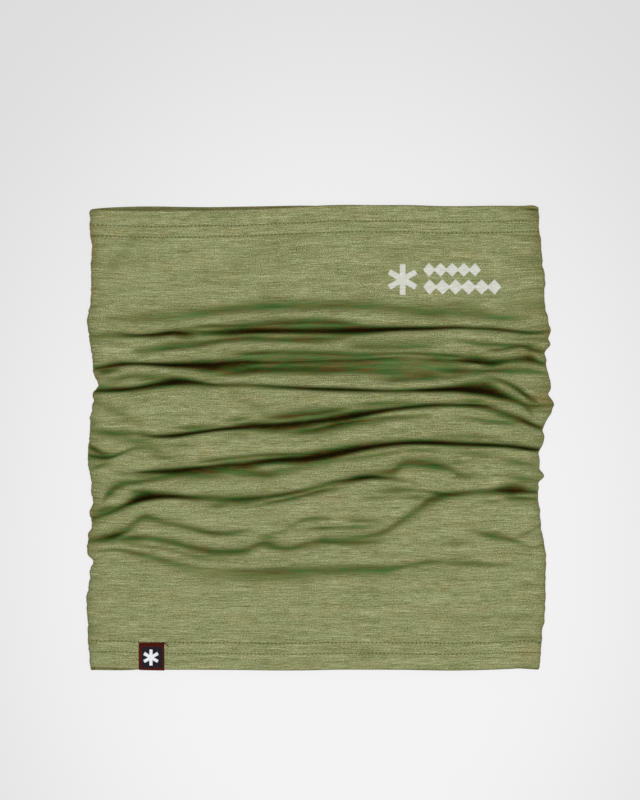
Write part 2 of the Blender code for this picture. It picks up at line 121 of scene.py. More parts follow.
# Creases and valleys of the front. Their depth sets how far the cloth dips, and also how dark the
# shade painted into its colour is. A run is a list of (X, Y, depth, reach above, reach below); a
# point without reaches keeps those of the point before it. A tight run is pinched together along
# its line, and the cloth above it leans over it a little.
TIGHT, SOFT = True, False
CREASES = [
    # end of the flat zone under the print
    (SOFT, [(-118, 65, .7, 3, 4), (-100, 66, 1.4, 3, 4), (-80, 66.5, 1.7, 4, 4),
            (-60, 69, 2.1, 3.6, 3.5), (-40, 71.5, 2.2, 3.2, 4), (-20, 72, 2.2, 4, 2.8),
            (0, 72, 2.2, 4, 2.2), (20, 71.8, 2.2, 4, 2.2), (40, 71.3, 1.8, 3, 4.2),
            (60, 68.5, 2, 5, 3.5), (75, 69, 1.7, 5, 4), (85, 67, 1.7, 7, 2.5),
            (95, 66, 2.2, 2.5, 2), (105, 65, 1.7, 4, 2), (116, 65.5, .8, 2, 2)]),
    (TIGHT, [(-78, 59.8, .5, 1.2, 1.2), (-65, 60.8, 2.6), (-60, 61.2, 3), (-50, 61.4, 2.8),
             (-40, 61.4, 2.6, 2.6, 1), (-20, 62.7, 3.1, 2.8, 1.8), (0, 63.2, 3.1, 3, 1.8),
             (12, 62.7, 3.1, 2.4, 1.6), (22, 61.6, 2, 2, 1), (36, 60.9, .6, 1.4, 1)]),
    (TIGHT, [(-127, 54.5, 1.8, 1.6, 2), (-112, 56.6, 2, 1.6, 4), (-100, 56, 3.8, 1.1, 1.4),
             (-90, 56.6, 4.8, 1.4, 2), (-80, 57.7, 5.4, 1.6, 2.2), (-74, 57.3, 4.4, 1.8, 3),
             (-67, 56.8, 2)]),
    (SOFT, [(-84, 59.4, .5, 1.5, 2), (-76, 59.4, 1.6), (-70, 58.6, 2.4), (-64, 57.4, 2.4, 2, 2.6),
            (-57, 58, .7)]),
    (TIGHT, [(-68, 57.2, 1.5, 3, 2), (-60, 57.3, 3.4), (-50, 57.8, 4.8, 3.4, 2.5),
             (-40, 58.3, 5.8, 3.2, 2), (-20, 58.6, 5.2, 2.6, 2.3), (0, 58.5, 5.2, 3.2, 2.6),
             (10, 58.6, 5.8, 3.2, 2.8), (20, 59, 6.4, 2.6, 3), (30, 59.2, 6.4, 2.2, 2.4),
             (40, 59.5, 6.2, 1.9, 1.6), (60, 59.8, 5.2, 1.7, 1.2), (75, 60.2, 4.2, 1.4, 1),
             (85, 59.8, 3.8), (95, 59.3, 3.8, 1.8, 1), (105, 58.4, 3.6, 1.3, 1.2),
             (115, 57.5, 3.2, 1.3, 1.6), (128, 58.6, 2, 1.4, 1.6)]),
    (SOFT, [(-104, 47.2, .8, 3, 1.5), (-100, 47.2, 1.6), (-92, 47.5, 2), (-80, 48.9, 2.8, 4, 1),
            (-75, 49.5, 2.6, 4, 1.2), (-65, 51, 2.7, 2.5, 1.5), (-60, 52, 2.7, 2, 1.5),
            (-50, 53.6, 2.8, 1.8, 1.8), (-40, 54.7, 3, 1.2, 2.5), (-20, 53.8, 2.8, 2, 2),
            (0, 54.3, 2.8, 1.5, 3.2), (10, 54.6, 2, 1.8, 2), (20, 56, 1, 1.6, 1.6),
            (28, 57, .8, 2, 1.6)]),
    (SOFT, [(12, 50, .5, 4, 1.5), (20, 49.6, 1.7), (40, 49, 1.8, 5, 1.5), (60, 50, 1.4, 4, 1.5),
            (70, 50.5, .3)]),
    (TIGHT, [(68, 53.4, .3, 1.5, 1.5), (75, 53.2, 1.3), (85, 51.6, 2.2), (95, 51, 2.6, 1.6, 1.5),
             (102, 50.8, 2.4, 1.2, 1.2), (108, 50.6, 2.4, 1.2, 1.4), (113, 49.6, 3, 1.6, 2.4),
             (118, 47.8, 3, 1.6, 2), (126, 46.4, 1.6, 1.6, 1.6)]),
    (SOFT, [(98, 54.4, .3, 1.2, 1.2), (107, 53.8, 1.2), (115, 54, 1.8, 1.4, 1.2),
            (128, 53.2, 1.8)]),
    (SOFT, [(90, 48.6, .6, 1.5, 1.5), (95, 48, 2), (100, 48.6, 2.2), (105, 49.6, 2.8, 1, 1.5),
            (110, 50.2, 2.4), (115, 50.8, 2.2), (120, 50.4, .8)]),
    (SOFT, [(-58, 42, .3, 3, 3), (-45, 42.5, 1.6, 5, 5), (-30, 42, 1.9, 6, 6),
            (-20, 41.8, 2.5, 6, 6.5), (0, 41.5, 2.5), (20, 41, 2.3, 5, 6), (40, 40.5, 2, 4.5, 5),
            (60, 40, 1.9, 4, 4.5), (75, 39.5, 1.4), (88, 39.4, .3)]),
    # second group
    (TIGHT, [(-52, 46, .5, 2, 1.5), (-40, 46, 2.8, 2, 1.2), (-20, 46.6, 2.7, 2, 1.8),
             (0, 46, 2.6, 2, 1.4), (20, 45, 2.6, 3, 1.2), (40, 46, 2.6, 1.5, .9),
             (60, 45.8, 2.4, 2, 1.5), (75, 44.6, 3, 1.5, 1), (82, 43.8, 2, 3, 1),
             (90, 43.4, .6, 2, 1)]),
    (TIGHT, [(62, 42.6, .6, 1.4, 1.6), (75, 42.3, 3.4, 1.6, 2), (85, 41.5, 5, 4, 1.4),
             (95, 41.2, 4.6, 2.8, 3), (102, 42, 3.4, 2.8, 2.2), (110, 42.8, 3.4, 3.4, 2.6),
             (115, 42.8, 4.2, 4, 2.6), (120, 41.2, 3.4, 2, 2), (128, 39.6, 2.4, 2, 2)]),
    (TIGHT, [(-38, 41, .8, 1.2, 1), (-30, 41.1, 2.6, 1.3, 1.2), (-20, 41.2, 3), (0, 41.8, 3),
             (20, 42.4, 3.1, 1.6, 2), (40, 43.4, 2.9, 1.4, 1.6), (52, 43, 2, 1.6, 1.6),
             (62, 42.4, 2.8, 2, 2), (72, 41.6, 2.4), (80, 41, .6)]),
    (SOFT, [(-60, 37.5, 1.2, 3, 3), (-50, 37, 2.6), (-40, 37, 3.6, 3, 2.5),
            (-20, 37.2, 3.2, 3, 2.6), (0, 36.8, 3.2, 3.4, 2.6), (20, 37, 2.8, 2.6, 2),
            (40, 35.6, 2.4, 3.4, 2.4), (50, 35.2, 2.1), (62, 36.2, 2.2, 3, 2), (75, 36.2, 3, 3, 2),
            (85, 36.6, 2.6, 1.6, 2.6), (95, 36.6, 3, 1.6, 1.6), (105, 36.4, 2.6, 3, 1.8),
            (112, 36.4, 2.4, 2.6, 1.8), (119, 35.6, 1.8, 2.4, 2), (126, 35.4, .8, 2, 2)]),
    (SOFT, [(28, 33, .4, 1.5, 2), (40, 32, 2.4), (50, 32.6, 2.5, 3, 2), (60, 33, 2.7, 4, 2),
            (68, 33.5, 1.8, 2, 2), (75, 34, 1.8, 1, 2), (82, 34, .4)]),
    (TIGHT, [(-127, 37, 2.4, 2, 2), (-120, 38.4, 3.6, 2, 1.5), (-112, 39.8, 4.5),
             (-100, 40.6, 4.3, 1.2, 1.2), (-90, 40.2, 5, 1.5, 1.5), (-80, 39.9, 6.2, 1.9, 1.8),
             (-70, 39.9, 6.3, 2.4, 2.6), (-60, 40, 6.2, 2.7, 4.6), (-50, 40.8, 5.2, 2.6, 4.6),
             (-40, 41.3, 4.6, 2.2, 3.2), (-30, 41.2, 3.2, 2.2, 2), (-22, 41, 1)]),
    (SOFT, [(-124, 37, 1, 2, 2.4), (-119, 36.6, 2.9, 2, 2.6), (-113, 37.4, 2.4, 2, 2.2),
            (-108, 38.4, .8, 1.6, 1.6)]),
    (SOFT, [(-104, 32.6, .5, 1.6, 1.6), (-97, 32.4, 1.7), (-90, 32.6, 2, 1.8, 2), (-80, 32, 1.2),
            (-66, 30.6, .8), (-56, 34, 1.4, 2, 1.6), (-50, 34.8, 2.2), (-40, 34.8, 1.6),
            (-30, 35.4, .4)]),
    (SOFT, [(58, 43.6, .6, 1.6, 1.6), (63, 43.2, 2.2), (68, 42.8, 1.8), (74, 42.6, .8)]),
    (SOFT, [(-122, 29.4, .4, 2, 3), (-112, 32, 1.6, 2, 3), (-104, 33.6, 2, 2, 2),
            (-96, 33.8, 1.9, 2, 1.8), (-88, 33.6, 1.3), (-80, 33.8, .9), (-72, 34, .3)]),
    # the long crease that meets the right edge at the bump
    (TIGHT, [(-127, 24.8, 3, 3, 1.6), (-120, 25.6, 4, 3, 1.6), (-112, 26, 4.8, 2.4, 1.6),
             (-100, 27.3, 4.6, 1.9, 2.2), (-90, 29.1, 5.2, 2.7, 2.6), (-80, 30.4, 6.4, 3.2, 2.4),
             (-70, 30.5, 5, 2, 2.4), (-60, 29.3, 3.6, 1.1, 1.8), (-40, 28.8, 2.7, 1.1, 1.5),
             (-30, 28.4, 3.2), (-20, 27.7, 3.8, 1.2, 1.3), (-8, 27.1, 4.6), (0, 26.8, 5.2),
             (20, 26.2, 4.6, 1.4, 1.3), (40, 25.6, 3.4, 1.3, 1.2), (50, 25.8, 4, 1.5, 1.4),
             (60, 26.2, 5.8, 1.6, 1.6), (75, 26.6, 7, 2.5, 2), (85, 25.8, 7, 4.6, 2.4),
             (92, 24.9, 6.4, 5.8, 2.6), (100, 22.8, 5, 3.6, 3), (105, 20.8, 4, 3, 2.2),
             (110, 18.8, 3.2, 2.4, 1.8), (116, 17.2, 3, 2.2, 2), (122, 17.6, 2.2, 2.4, 2),
             (131, 18, 1.4, 2, 2)]),
    (SOFT, [(90, 27, .3, 2, 2), (98, 25.4, 1.1, 2, 2), (106, 22, 1.4, 2, 2),
            (112, 17.6, 2.6, 2.4, 2.4), (115, 14.4, 2.2, 2, 2), (118, 12.6, .6)]),
    (SOFT, [(86, 34.4, .4, 1.5, 2), (92, 33, 1.6, 1.5, 2.2), (97, 32, 2.4, 1.4, 2.2),
            (101, 30.6, 2.8, 1.4, 2), (105, 28.6, 3.2), (110, 25.4, 3.8, 1.6, 2),
            (114, 22.4, 3.6, 1.6, 2), (119, 19.4, 2, 2, 2)]),
    (SOFT, [(-127, 21, 1, 3, 3), (-120, 18, 1.2), (-112, 14.5, 1.4), (-105, 11, 1.2),
            (-97, 7, .7)]),
    (SOFT, [(-50, 23, .2, 2, 3), (-42, 20.6, .7), (-36, 18, 1.1), (-30, 14.6, 1.1),
            (-25, 12.4, .6), (-20, 11.4, .3)]),
    # across the middle
    (TIGHT, [(-34, 11, .4, 1.2, 1.2), (-20, 11.5, 3, 2.6, 2), (-10, 12.7, 3.3, 3, 2.4),
             (0, 13.7, 3.2, 2.8, 2.4), (10, 15.2, 2.6, 2.6, 1.8), (18, 16.2, 1, 2, 1.4)]),
    (SOFT, [(14, 17.6, .6, 1.4, 1.4), (25, 18.4, 2), (35, 18.8, 2.3), (45, 18.9, 2.1),
            (55, 18.8, 1.2), (68, 19.4, .8), (78, 20, 1.6), (86, 20.2, 2.4), (92, 19.8, 1.2),
            (98, 19, .3)]),
    (SOFT, [(-53, 1.6, .4, 1.4, 1.4), (-43, 2, 1.7), (-35, 2.2, .4)]),
    (SOFT, [(-54, 8.4, .4, 1.4, 1.4), (-45, 10, 2), (-37, 10.8, .4)]),
    (SOFT, [(-82, 5.4, .4, 1.4, 1.4), (-72, 5.4, 2), (-62, 6, 1.6), (-54, 7, .4)]),
    (TIGHT, [(-127, 3.6, 1.4, 3, 2), (-118, 2.6, 2.2, 2.5, 2.5), (-112, 2, 2.5),
             (-100, 2.2, 2.2, 1.6, 1.6), (-92, 1, 3.4, 1.6, 1.3), (-80, 1, 5.2, 2, 1.3),
             (-70, 2.4, 5.4, 1.8, 1.1), (-60, 3.8, 5.2, 1.6, 1), (-50, 5, 5.2, 1.7, 1.3),
             (-40, 6, 5.2, 2.8, 2.2), (-20, 7.1, 5.6, 2.2, 4), (-10, 8.2, 5.4, 2.4, 4),
             (0, 9.3, 5.4, 2.4, 2.6), (10, 10.6, 5.8, 3, 2.4), (20, 12.3, 6.4, 3, 2.3),
             (30, 14, 5.5, 2.4, 1.7), (40, 15.6, 4.8, 1.9, 1.5), (50, 16.8, 4.6, 1.6, 1.5),
             (60, 17.7, 4.4, 1.4, 1.6), (75, 17.9, 3.6, 1.4, 1.6), (85, 17.8, 4.6, 1.3, 2),
             (92, 16.7, 3.6, 1.8, 2.6), (100, 13.8, 3, 2, 4), (105, 11.8, 3.3, 2.2, 3.8),
             (110, 9.9, 3.8, 2.4, 2.6), (115, 7.6, 4.2, 2, 2), (122, 5, 3), (128, 4, 2)]),
    (TIGHT, [(-22, 2.4, .4, 1.4, 2), (-12, 3, 2.4), (0, 4.8, 3.4, 2, 3.4),
             (10, 7.3, 3.8, 2.2, 3.6), (20, 8.9, 3.4, 1.8, 2.8), (30, 9.9, 2.5),
             (40, 11, 2.1, 1.5, 1.6), (50, 11.6, 1.8, 1.5, 1.6), (62, 12, .8)]),
    (SOFT, [(72, 11.6, .3, 1.6, 1.6), (82, 10.6, 1.4), (92, 9.2, 2), (102, 8, 2), (112, 6, .8)]),
    (SOFT, [(-128, -4.2, 2.6, 2, 2.6), (-124, -6, 3.2), (-120, -8.2, 3, 2, 2), (-115, -9.6, 1.8),
            (-110, -10, .4)]),
    (TIGHT, [(-128, -9.8, 2.4, 1.8, 1.8), (-122, -10.6, 3.6), (-117, -11, 3.8, 1.5, 1.8),
             (-112, -10, 3, 1.4, 1.2), (-107, -7.8, 2.3), (-100, -5.6, 1.9, 2, 1.4),
             (-94, -5.6, 1.7, 2, 1.6), (-88, -7.4, 1.6), (-82, -9.6, .4)]),
    (SOFT, [(-114, -1, .4, 2, 3), (-108, -.6, 1.2), (-100, -2, 1.6), (-92, -3.4, 1.5),
            (-84, -4.4, .8), (-76, -4.6, 1.2, 1.4, 1.6), (-66, -4.6, .3)]),
    (SOFT, [(-128, -17.6, 1, 1.5, 1.8), (-122, -15.8, 1.9), (-117, -14.2, 1.7),
            (-112, -13.6, .3)]),
    (SOFT, [(-116, -19, .4, 1.4, 1.4), (-106, -19.6, 1.7), (-98, -19.8, 1.2)]),
    (SOFT, [(-92, -10.6, .4, 1.4, 1.4), (-86, -11, 1.8), (-79, -11, 1), (-72, -11, .2)]),
    # the deepest crease
    (TIGHT, [(-70, -13.6, .4, 1.1, 1), (-60, -12.6, 2.5), (-50, -11.3, 2.2), (-40, -10.2, 2.4),
             (-30, -9.4, 2.6), (-20, -9, 3), (-12, -8.8, 2.4), (-4, -8.2, .4)]),
    (TIGHT, [(-104, -19.4, .4, 1.2, 1), (-100, -19.2, 2.4), (-90, -18.6, 4.2, 2, 2),
             (-80, -18.2, 5.6, 2.2, 3), (-70, -17, 5.2, 1.8, 4.5), (-60, -15.9, 4.4, 1.6, 6),
             (-50, -14.9, 4.2, 2.2, 5), (-40, -14.2, 4.4, 2.4, 4.4), (-31, -13, 5, 2, 2.6),
             (-20, -12, 5.8, 2.4, 2.6), (-10, -11.6, 6.2, 3, 3), (0, -10.3, 6.6, 3.6, 3),
             (10, -8.4, 6.6, 3.3, 2.8), (20, -6.3, 6.4, 3, 2.2), (30, -4.7, 5.7, 2.6, 1.8),
             (40, -3.5, 5.3, 2.4, 1.6), (50, -2.8, 5.7, 2.2, 1.5), (60, -2.8, 6.1, 2.2, 1.5),
             (75, -3.2, 5.3, 1.8, 2), (85, -3.7, 5.1, 1.8, 1.7), (95, -4.1, 5.1, 1.7, 1.4),
             (105, -4.9, 5, 1.8, 1.2), (115, -6.3, 5.2), (123, -7.4, 4)]),
    (SOFT, [(56, .4, .3, 2, 2), (70, .8, 1.4), (84, .6, 1.6), (94, .2, .9), (102, 0, .3)]),
    (SOFT, [(-8, -15.4, .6, 1.6, 1.6), (4, -13.6, 1.6), (14, -11.8, 1.8), (24, -10.8, 1.8),
            (34, -9.2, 1.6), (44, -8, .8)]),
    (SOFT, [(40, -6.2, .4, 1.2, 1.8), (50, -6.4, 1.5), (60, -6.4, 1.5), (70, -6.6, .7),
            (80, -8, 1.2, 1.6, 2), (88, -8.6, 1.8), (96, -8.8, 1.2), (104, -9.6, .4)]),
    (SOFT, [(-54, -18, .8, 1.6, 2), (-45, -18.6, 2.2, 1.8, 3), (-36, -19.2, 2.6, 2, 3.4),
            (-28, -20.2, 2.8, 2.4, 2.4), (-20, -18.4, 1.9, 3, 3.4), (-10, -16, 1.7, 3, 3),
            (2, -14.6, .9, 2, 2), (12, -13, .3)]),
    (SOFT, [(-104, -21.4, .4, 2, 2), (-98, -21, 1.5, 2, 2), (-88, -21, 1.5), (-74, -21, 1.2),
            (-60, -21.5, .5)]),
    (SOFT, [(24, -19.4, .4, 2, 2), (30, -19.2, 1.7), (37, -19.4, 1.4), (44, -21, .4)]),
    (SOFT, [(-120, -36, .8, 3, 2), (-116, -31, 2.4, 4, 3), (-112, -27.4, 2.7, 3, 3),
            (-106, -25.2, 2.6, 2.4, 1.8), (-100, -24.2, 2.6, 1.6, 1.8), (-92, -22.8, 2.4),
            (-84, -21.6, 2.2), (-75, -21.4, .8)]),
    (SOFT, [(30, -19.6, .8, 2, 2), (36, -19.4, 2.2, 3, 2.4), (41, -17.8, 2.8, 3, 3.4),
            (45, -14.8, 2.6, 3, 3.4), (52, -13.8, 2.7, 3, 3.4), (60, -14.6, 2.9, 3.4, 3.6),
            (66, -15.8, 2.8, 3.2, 3), (72, -17.6, 2.3, 2.4, 2), (75, -19.9, 2.2), (80, -20.8, 1.6),
            (88, -21.8, .9), (100, -21, .8), (112, -23, 1.8, 3, 3), (118, -23.6, 1.4),
            (126, -24, .4, 2, 2)]),
    (SOFT, [(67, -13.6, .3, 1.6, 1.6), (75, -14, 1.4), (84, -12.6, .7), (92, -11.6, .6)]),
    (SOFT, [(96, -11.4, .4, 2, 3), (103, -12.6, 1.5), (110, -13.6, 1.9), (116, -14.6, 1.3),
            (121, -15, .4)]),
    # crease with the open pocket at the left
    (TIGHT, [(-128, -45.5, 2.4, 3, 2), (-122, -43.4, 2.8, 2.6, 2), (-116, -41.4, 3, 2.4, 1.8),
             (-110, -38.8, 3.2), (-106, -36.8, 4, 2.8, 1.8), (-100, -34.4, 6.4, 3.8, 1.8),
             (-95, -33, 6.8, 3.8, 1.8), (-90, -32.4, 6.2, 3, 1.6), (-80, -32.3, 4.8, 2.4, 1.4),
             (-70, -32.9, 3.4, 2.2, 1.8), (-60, -33.3, 2.8, 2.6, 2.2), (-50, -33.9, 3.2, 2.6, 3.2),
             (-40, -33.6, 3.7, 2.5, 2.8), (-30, -32.6, 3.4, 2, 1.8), (-20, -31.2, 3.3, 1.8, 1.4),
             (-10, -29.2, 2.9, 1.8, 1.6), (0, -26.6, 2.4, 2.2, 1.6), (8, -24.4, 2.6, 2, 2),
             (14, -23.6, 3.4), (20, -22.5, 4.5, 2.4, 1.9), (28, -21.6, 5, 2, 1.5),
             (34, -21.8, 3.6, 1.6, 1.6), (40, -22.4, 2.2, 1.4, 1.4), (48, -24, .9),
             (55, -25, .2)]),
    (SOFT, [(-105, -30, .8, 1.2, 2), (-100, -29.6, 2.4, 1.6, 2.4), (-94, -29.4, 1.6, 1.4, 2),
            (-87, -29.8, .4, 1, 1)]),
    (TIGHT, [(-44, -37.4, .4, 1.4, 1.4), (-34, -37.2, 1.6), (-24, -35, 2.4), (-16, -33.4, 2.5),
             (-8, -31.6, 2.6, 1.4, 1.2), (0, -29.4, 2.8, 1.4, 1.6), (8, -28, 1.6),
             (15, -27.4, .3)]),
    (SOFT, [(-64, -37, .4, 1.4, 1.6), (-56, -37.4, 2.3), (-49, -37, .8)]),
    (SOFT, [(20, -32.6, .4, 1.3, 1.3), (29, -32.8, 1.9), (37, -32.6, 1), (46, -32.8, .9),
            (54, -32.4, 1.6), (60, -32.4, .6)]),
    (TIGHT, [(28, -29.4, .4, 1.3, 2), (40, -28.6, 2.2, 1.4, 3), (50, -28.4, 1.8, 1, 2),
             (60, -29.6, 2.1, .9, 1.4), (66, -31, 3.6, 1.8, 2.2), (72, -31, 3.6, 2, 2.2),
             (80, -30.2, 2.8, 1.6, 2), (85, -29.8, 2.5), (95, -29.2, 3.2, 2, 2.6),
             (100, -28.8, 4.6, 3, 2.6), (105, -29, 5.2, 4, 3), (110, -29.2, 4.6, 3.6, 2),
             (115, -29.8, 3.2, 3, 1.4), (124, -30.6, 1.6, 2, 1.4)]),
    (SOFT, [(97, -33.2, .3, 1, 1.4), (104, -33.2, 2.2, 1.4, 2), (110, -33.2, 2.6),
            (115, -33.4, 2.4), (124, -34.4, 1.6)]),
    (SOFT, [(86, -35, .3, 1.3, 1.5), (95, -35, 1.5), (102, -34.8, .3)]),
    # the diagonal and the ripples it runs into
    (SOFT, [(0, -55.4, .4, 2, 1.2), (10, -55, 1), (20, -54.8, 1.6, 2.4, 1.8),
            (28, -53.6, 2.1, 2, 2), (36, -51.2, 2.3, 2.4, 2.4), (42, -47.6, 2.2, 2.8, 2.4),
            (48, -43.2, 2.1, 2.8, 2.8), (54, -38.6, 2.3, 2, 3.6), (60, -33.8, 2.8, 2.2, 4.2),
            (66, -32.4, 2.8, 1.4, 3), (73, -30.6, .6, 1.2, 2)]),
    (SOFT, [(-13, -58.4, .3, 2, 1.3), (-6, -57.6, 1.6), (0, -57, 2.7, 2.5, 1.3),
            (10, -57.4, 2.6, 3, 1.5), (20, -57.6, 2.5, 4, 1.8), (30, -56.8, 1.6, 3, 2),
            (39, -55, .3, 2, 1.6)]),
    (SOFT, [(-15, -51, .2, 1.2, 1), (-8, -50.4, 1), (0, -49.6, 2.3), (10, -49.4, 1.6),
            (20, -49, 1.8, 1.5, 1.4), (26, -48.8, 1.4), (33, -48.4, .3)]),
    (SOFT, [(-32, -54.5, .3, 1.6, 1.6), (-26, -53, 1.2, 1.8, 2.4), (-20, -51, 1.4),
            (-14, -47.4, 1.4, 1.8, 2), (-9, -45.2, 1.8, 1.8, 1.8), (-2, -44.2, 2, 1.6, 1.4),
            (6, -44.4, .6)]),
    (SOFT, [(12, -45, .4, 1.6, 1.6), (21, -45.4, 1.8), (29, -45.8, 1.6), (38, -47, .4)]),
    # lower left group, and the folds down to the lower flat zone
    (TIGHT, [(-128, -57, 1.8, 3, 2), (-122, -56, 2.8, 3.4, 2.4), (-116, -54.6, 4, 2.6, 2.8),
             (-112, -53.6, 4.2), (-108, -52.2, 3.2, 2.6, 2), (-104, -50.2, 2.2, 2.4, 2),
             (-99, -47.8, .6)]),
    (SOFT, [(-128, -47.6, 2, 1.4, 1.4), (-122, -47, 1.2), (-117, -46.4, .3)]),
    (SOFT, [(-125, -41, 1.2, 2, 2), (-119, -39.8, 2.4), (-113, -38, 1.6), (-108, -36.4, .3)]),
    (SOFT, [(-116, -51, .4, 1.4, 1.4), (-110, -50.2, 1.6), (-105, -48.8, 2),
            (-100, -45.4, 2.2, 2.6, 2.4), (-96, -43.2, 2.6, 2, 2.4), (-92, -43.8, 2.3, 2.2, 2.8),
            (-86, -46.2, 1.9, 2.4, 2), (-80, -47.6, 1.7, 2.6, 1.8), (-72, -49.6, 2, 2.2, 1.6),
            (-66, -51, 2.4, 2, 1.6), (-60, -52.2, 2.6), (-52, -52.8, 2.2), (-44, -51.8, 1.7),
            (-38, -50.6, .7)]),
    (SOFT, [(-115, -54.6, .6, 2, 2), (-108, -55.4, 2.4), (-100, -54.8, 2.8, 1.8, 2.6),
            (-94, -55, 2.4, 2, 2.4), (-88, -56.2, 2.4, 2.4, 2), (-80, -57.8, 2.6, 2.6, 1.6),
            (-72, -59.8, 2.6, 2.4, 2), (-66, -61, 2.6, 2.2, 2.2), (-60, -62.1, 2.8, 2, 2.8),
            (-50, -62.4, 2.7, 2, 2.8), (-40, -61, 2.6, 1.8, 3), (-34, -58.8, 2.5, 2, 2),
            (-30, -57.8, 2.6, 2.2, 3), (-26, -58.8, 2.6), (-23, -60, 2.5, 2, 2.6),
            (-18, -60.8, 2.6, 1.9, 2), (-10, -59.4, 2.5), (-2, -58.8, 1.6), (8, -58.8, .3)]),
    (SOFT, [(-36, -55.6, .4, 1.6, 1.6), (-30, -54.2, 1.8), (-26, -54.8, 1.6), (-22, -56.6, .2)]),
    (SOFT, [(-114, -55.6, .4, 1.4, 1.4), (-107, -57, 1.4), (-100, -58.2, 1.5), (-90, -60, 1.2),
            (-80, -61.8, 1.3), (-72, -64.2, 1.7, 1.8, 1.6), (-64, -65.8, 1.6), (-56, -66.4, 1.1),
            (-48, -66.4, .3)]),
    (SOFT, [(-126, -62.4, .6, 1.2, 1.2), (-118, -61.8, 1.6), (-112, -61.6, 2.1),
            (-106, -62.2, 2.4, 1.4, 1.8), (-100, -63.4, 2.4, 1.5, 2.4),
            (-92, -65.2, 2.2, 1.8, 2.4), (-84, -67.4, 2, 1.6, 3), (-70, -70.8, 1.6, 1.8, 5),
            (-60, -72.4, 1.3, 2, 5.5), (-50, -73, 1.6, 2, 5), (-40, -73.4, 2.2, 2, 4.4),
            (-30, -73.2, 2.3, 2, 5), (-20, -73, 2.3, 2.6, 5.6), (0, -72.8, 2.2, 2.8, 3.6),
            (20, -72.2, 2.3, 3, 3.6), (40, -72, 2.2, 3, 2.4), (48, -70, 1.6, 2, 2),
            (60, -67.8, 2, 1.4, 1.6), (68, -68, 1.6), (75, -69, 1.7, 3, 1.8), (85, -69, 2, 2, 1.5),
            (95, -69.4, 1.5, 1.6, 1.6), (105, -69.6, .9), (117, -70, .2)]),
    (SOFT, [(78, -51, .3, 2, 2), (86, -51.6, 1.3), (92, -53.4, 2.2, 2.6, 2.4), (98, -54.6, 2.2),
            (105, -55.8, 2.3, 1.3, 2), (110, -57.6, 1.6), (116, -60, 1.1, 1.2, 1.2),
            (123, -61, .3)]),
    (SOFT, [(67, -57.6, .3, 1.6, 1.2), (75, -58, 1.3), (85, -57.6, .3)]),
    (SOFT, [(103, -55.8, .3, 1.2, 1.4), (110, -53.6, 1.2), (117, -50.2, 1.2), (126, -46, .8)]),
    # short creases that run in from the side seams, near both ends
    (SOFT, [(92, 74, .2, 5, 4), (104, 73, .8), (114, 72, 1.2), (126, 72, 1.4)]),
    (SOFT, [(96, 100, .2, 1.5, 2.5), (106, 99.6, .6), (114, 98.6, 1.1), (124, 98, 1.2)]),
    (SOFT, [(90, 111.4, .2, 1.2, 2), (104, 111.4, .6), (112, 111, 1.3), (123, 110.4, 1.4)]),
    (SOFT, [(100, 121, .1, 3, 4), (110, 121.6, .5), (118, 122.4, 1.1), (122, 123, 1.4)]),
    (SOFT, [(109, 125.4, .3, .8, .9), (113, 125.3, 1.8), (117, 125.1, 3.2), (121, 124.8, 2)]),
    (SOFT, [(96, -108, .2, 2, 3), (106, -108.6, .7), (116, -109.4, .9), (123, -110, .6)]),
    (SOFT, [(-127, -104, .8, 3, 4), (-118, -104.6, .5), (-104, -105, .1)]),
    # soft dents in the flat zones
    (SOFT, [(-122, 88, .2, 5, 6), (-116, 93, .5), (-110, 99, .7), (-104, 105, .7),
            (-97, 111, .2)]),
    (SOFT, [(-62, 92, .1, 1.6, 3), (-50, 95.6, .3), (-38, 99.4, .4), (-30, 101, .1)]),
    (SOFT, [(-52, -77.6, .3, 2, 2), (-36, -78.2, 1.2), (-22, -78, .8), (-10, -77, .2)]),
    (SOFT, [(20, -72.6, .2, 2, 3), (40, -74, .8), (60, -74.6, .4), (72, -76, .1)]),
    (SOFT, [(20, 104, .1, 2, 3), (40, 103, .4), (60, 104.5, .4), (80, 105, .1)]),
    (SOFT, [(70, -101, .1, 2.2, 3.4), (84, -100, .5), (98, -98, .7), (110, -97, .5),
            (122, -97.6, .2)]),
    (SOFT, [(-70, -84, .1, 2, 3), (-55, -85.5, .5), (-42, -86.6, .2)]),
    (SOFT, [(96, -84, .1, 2.4, 3), (108, -82, .5), (120, -80.5, .4)]),
]

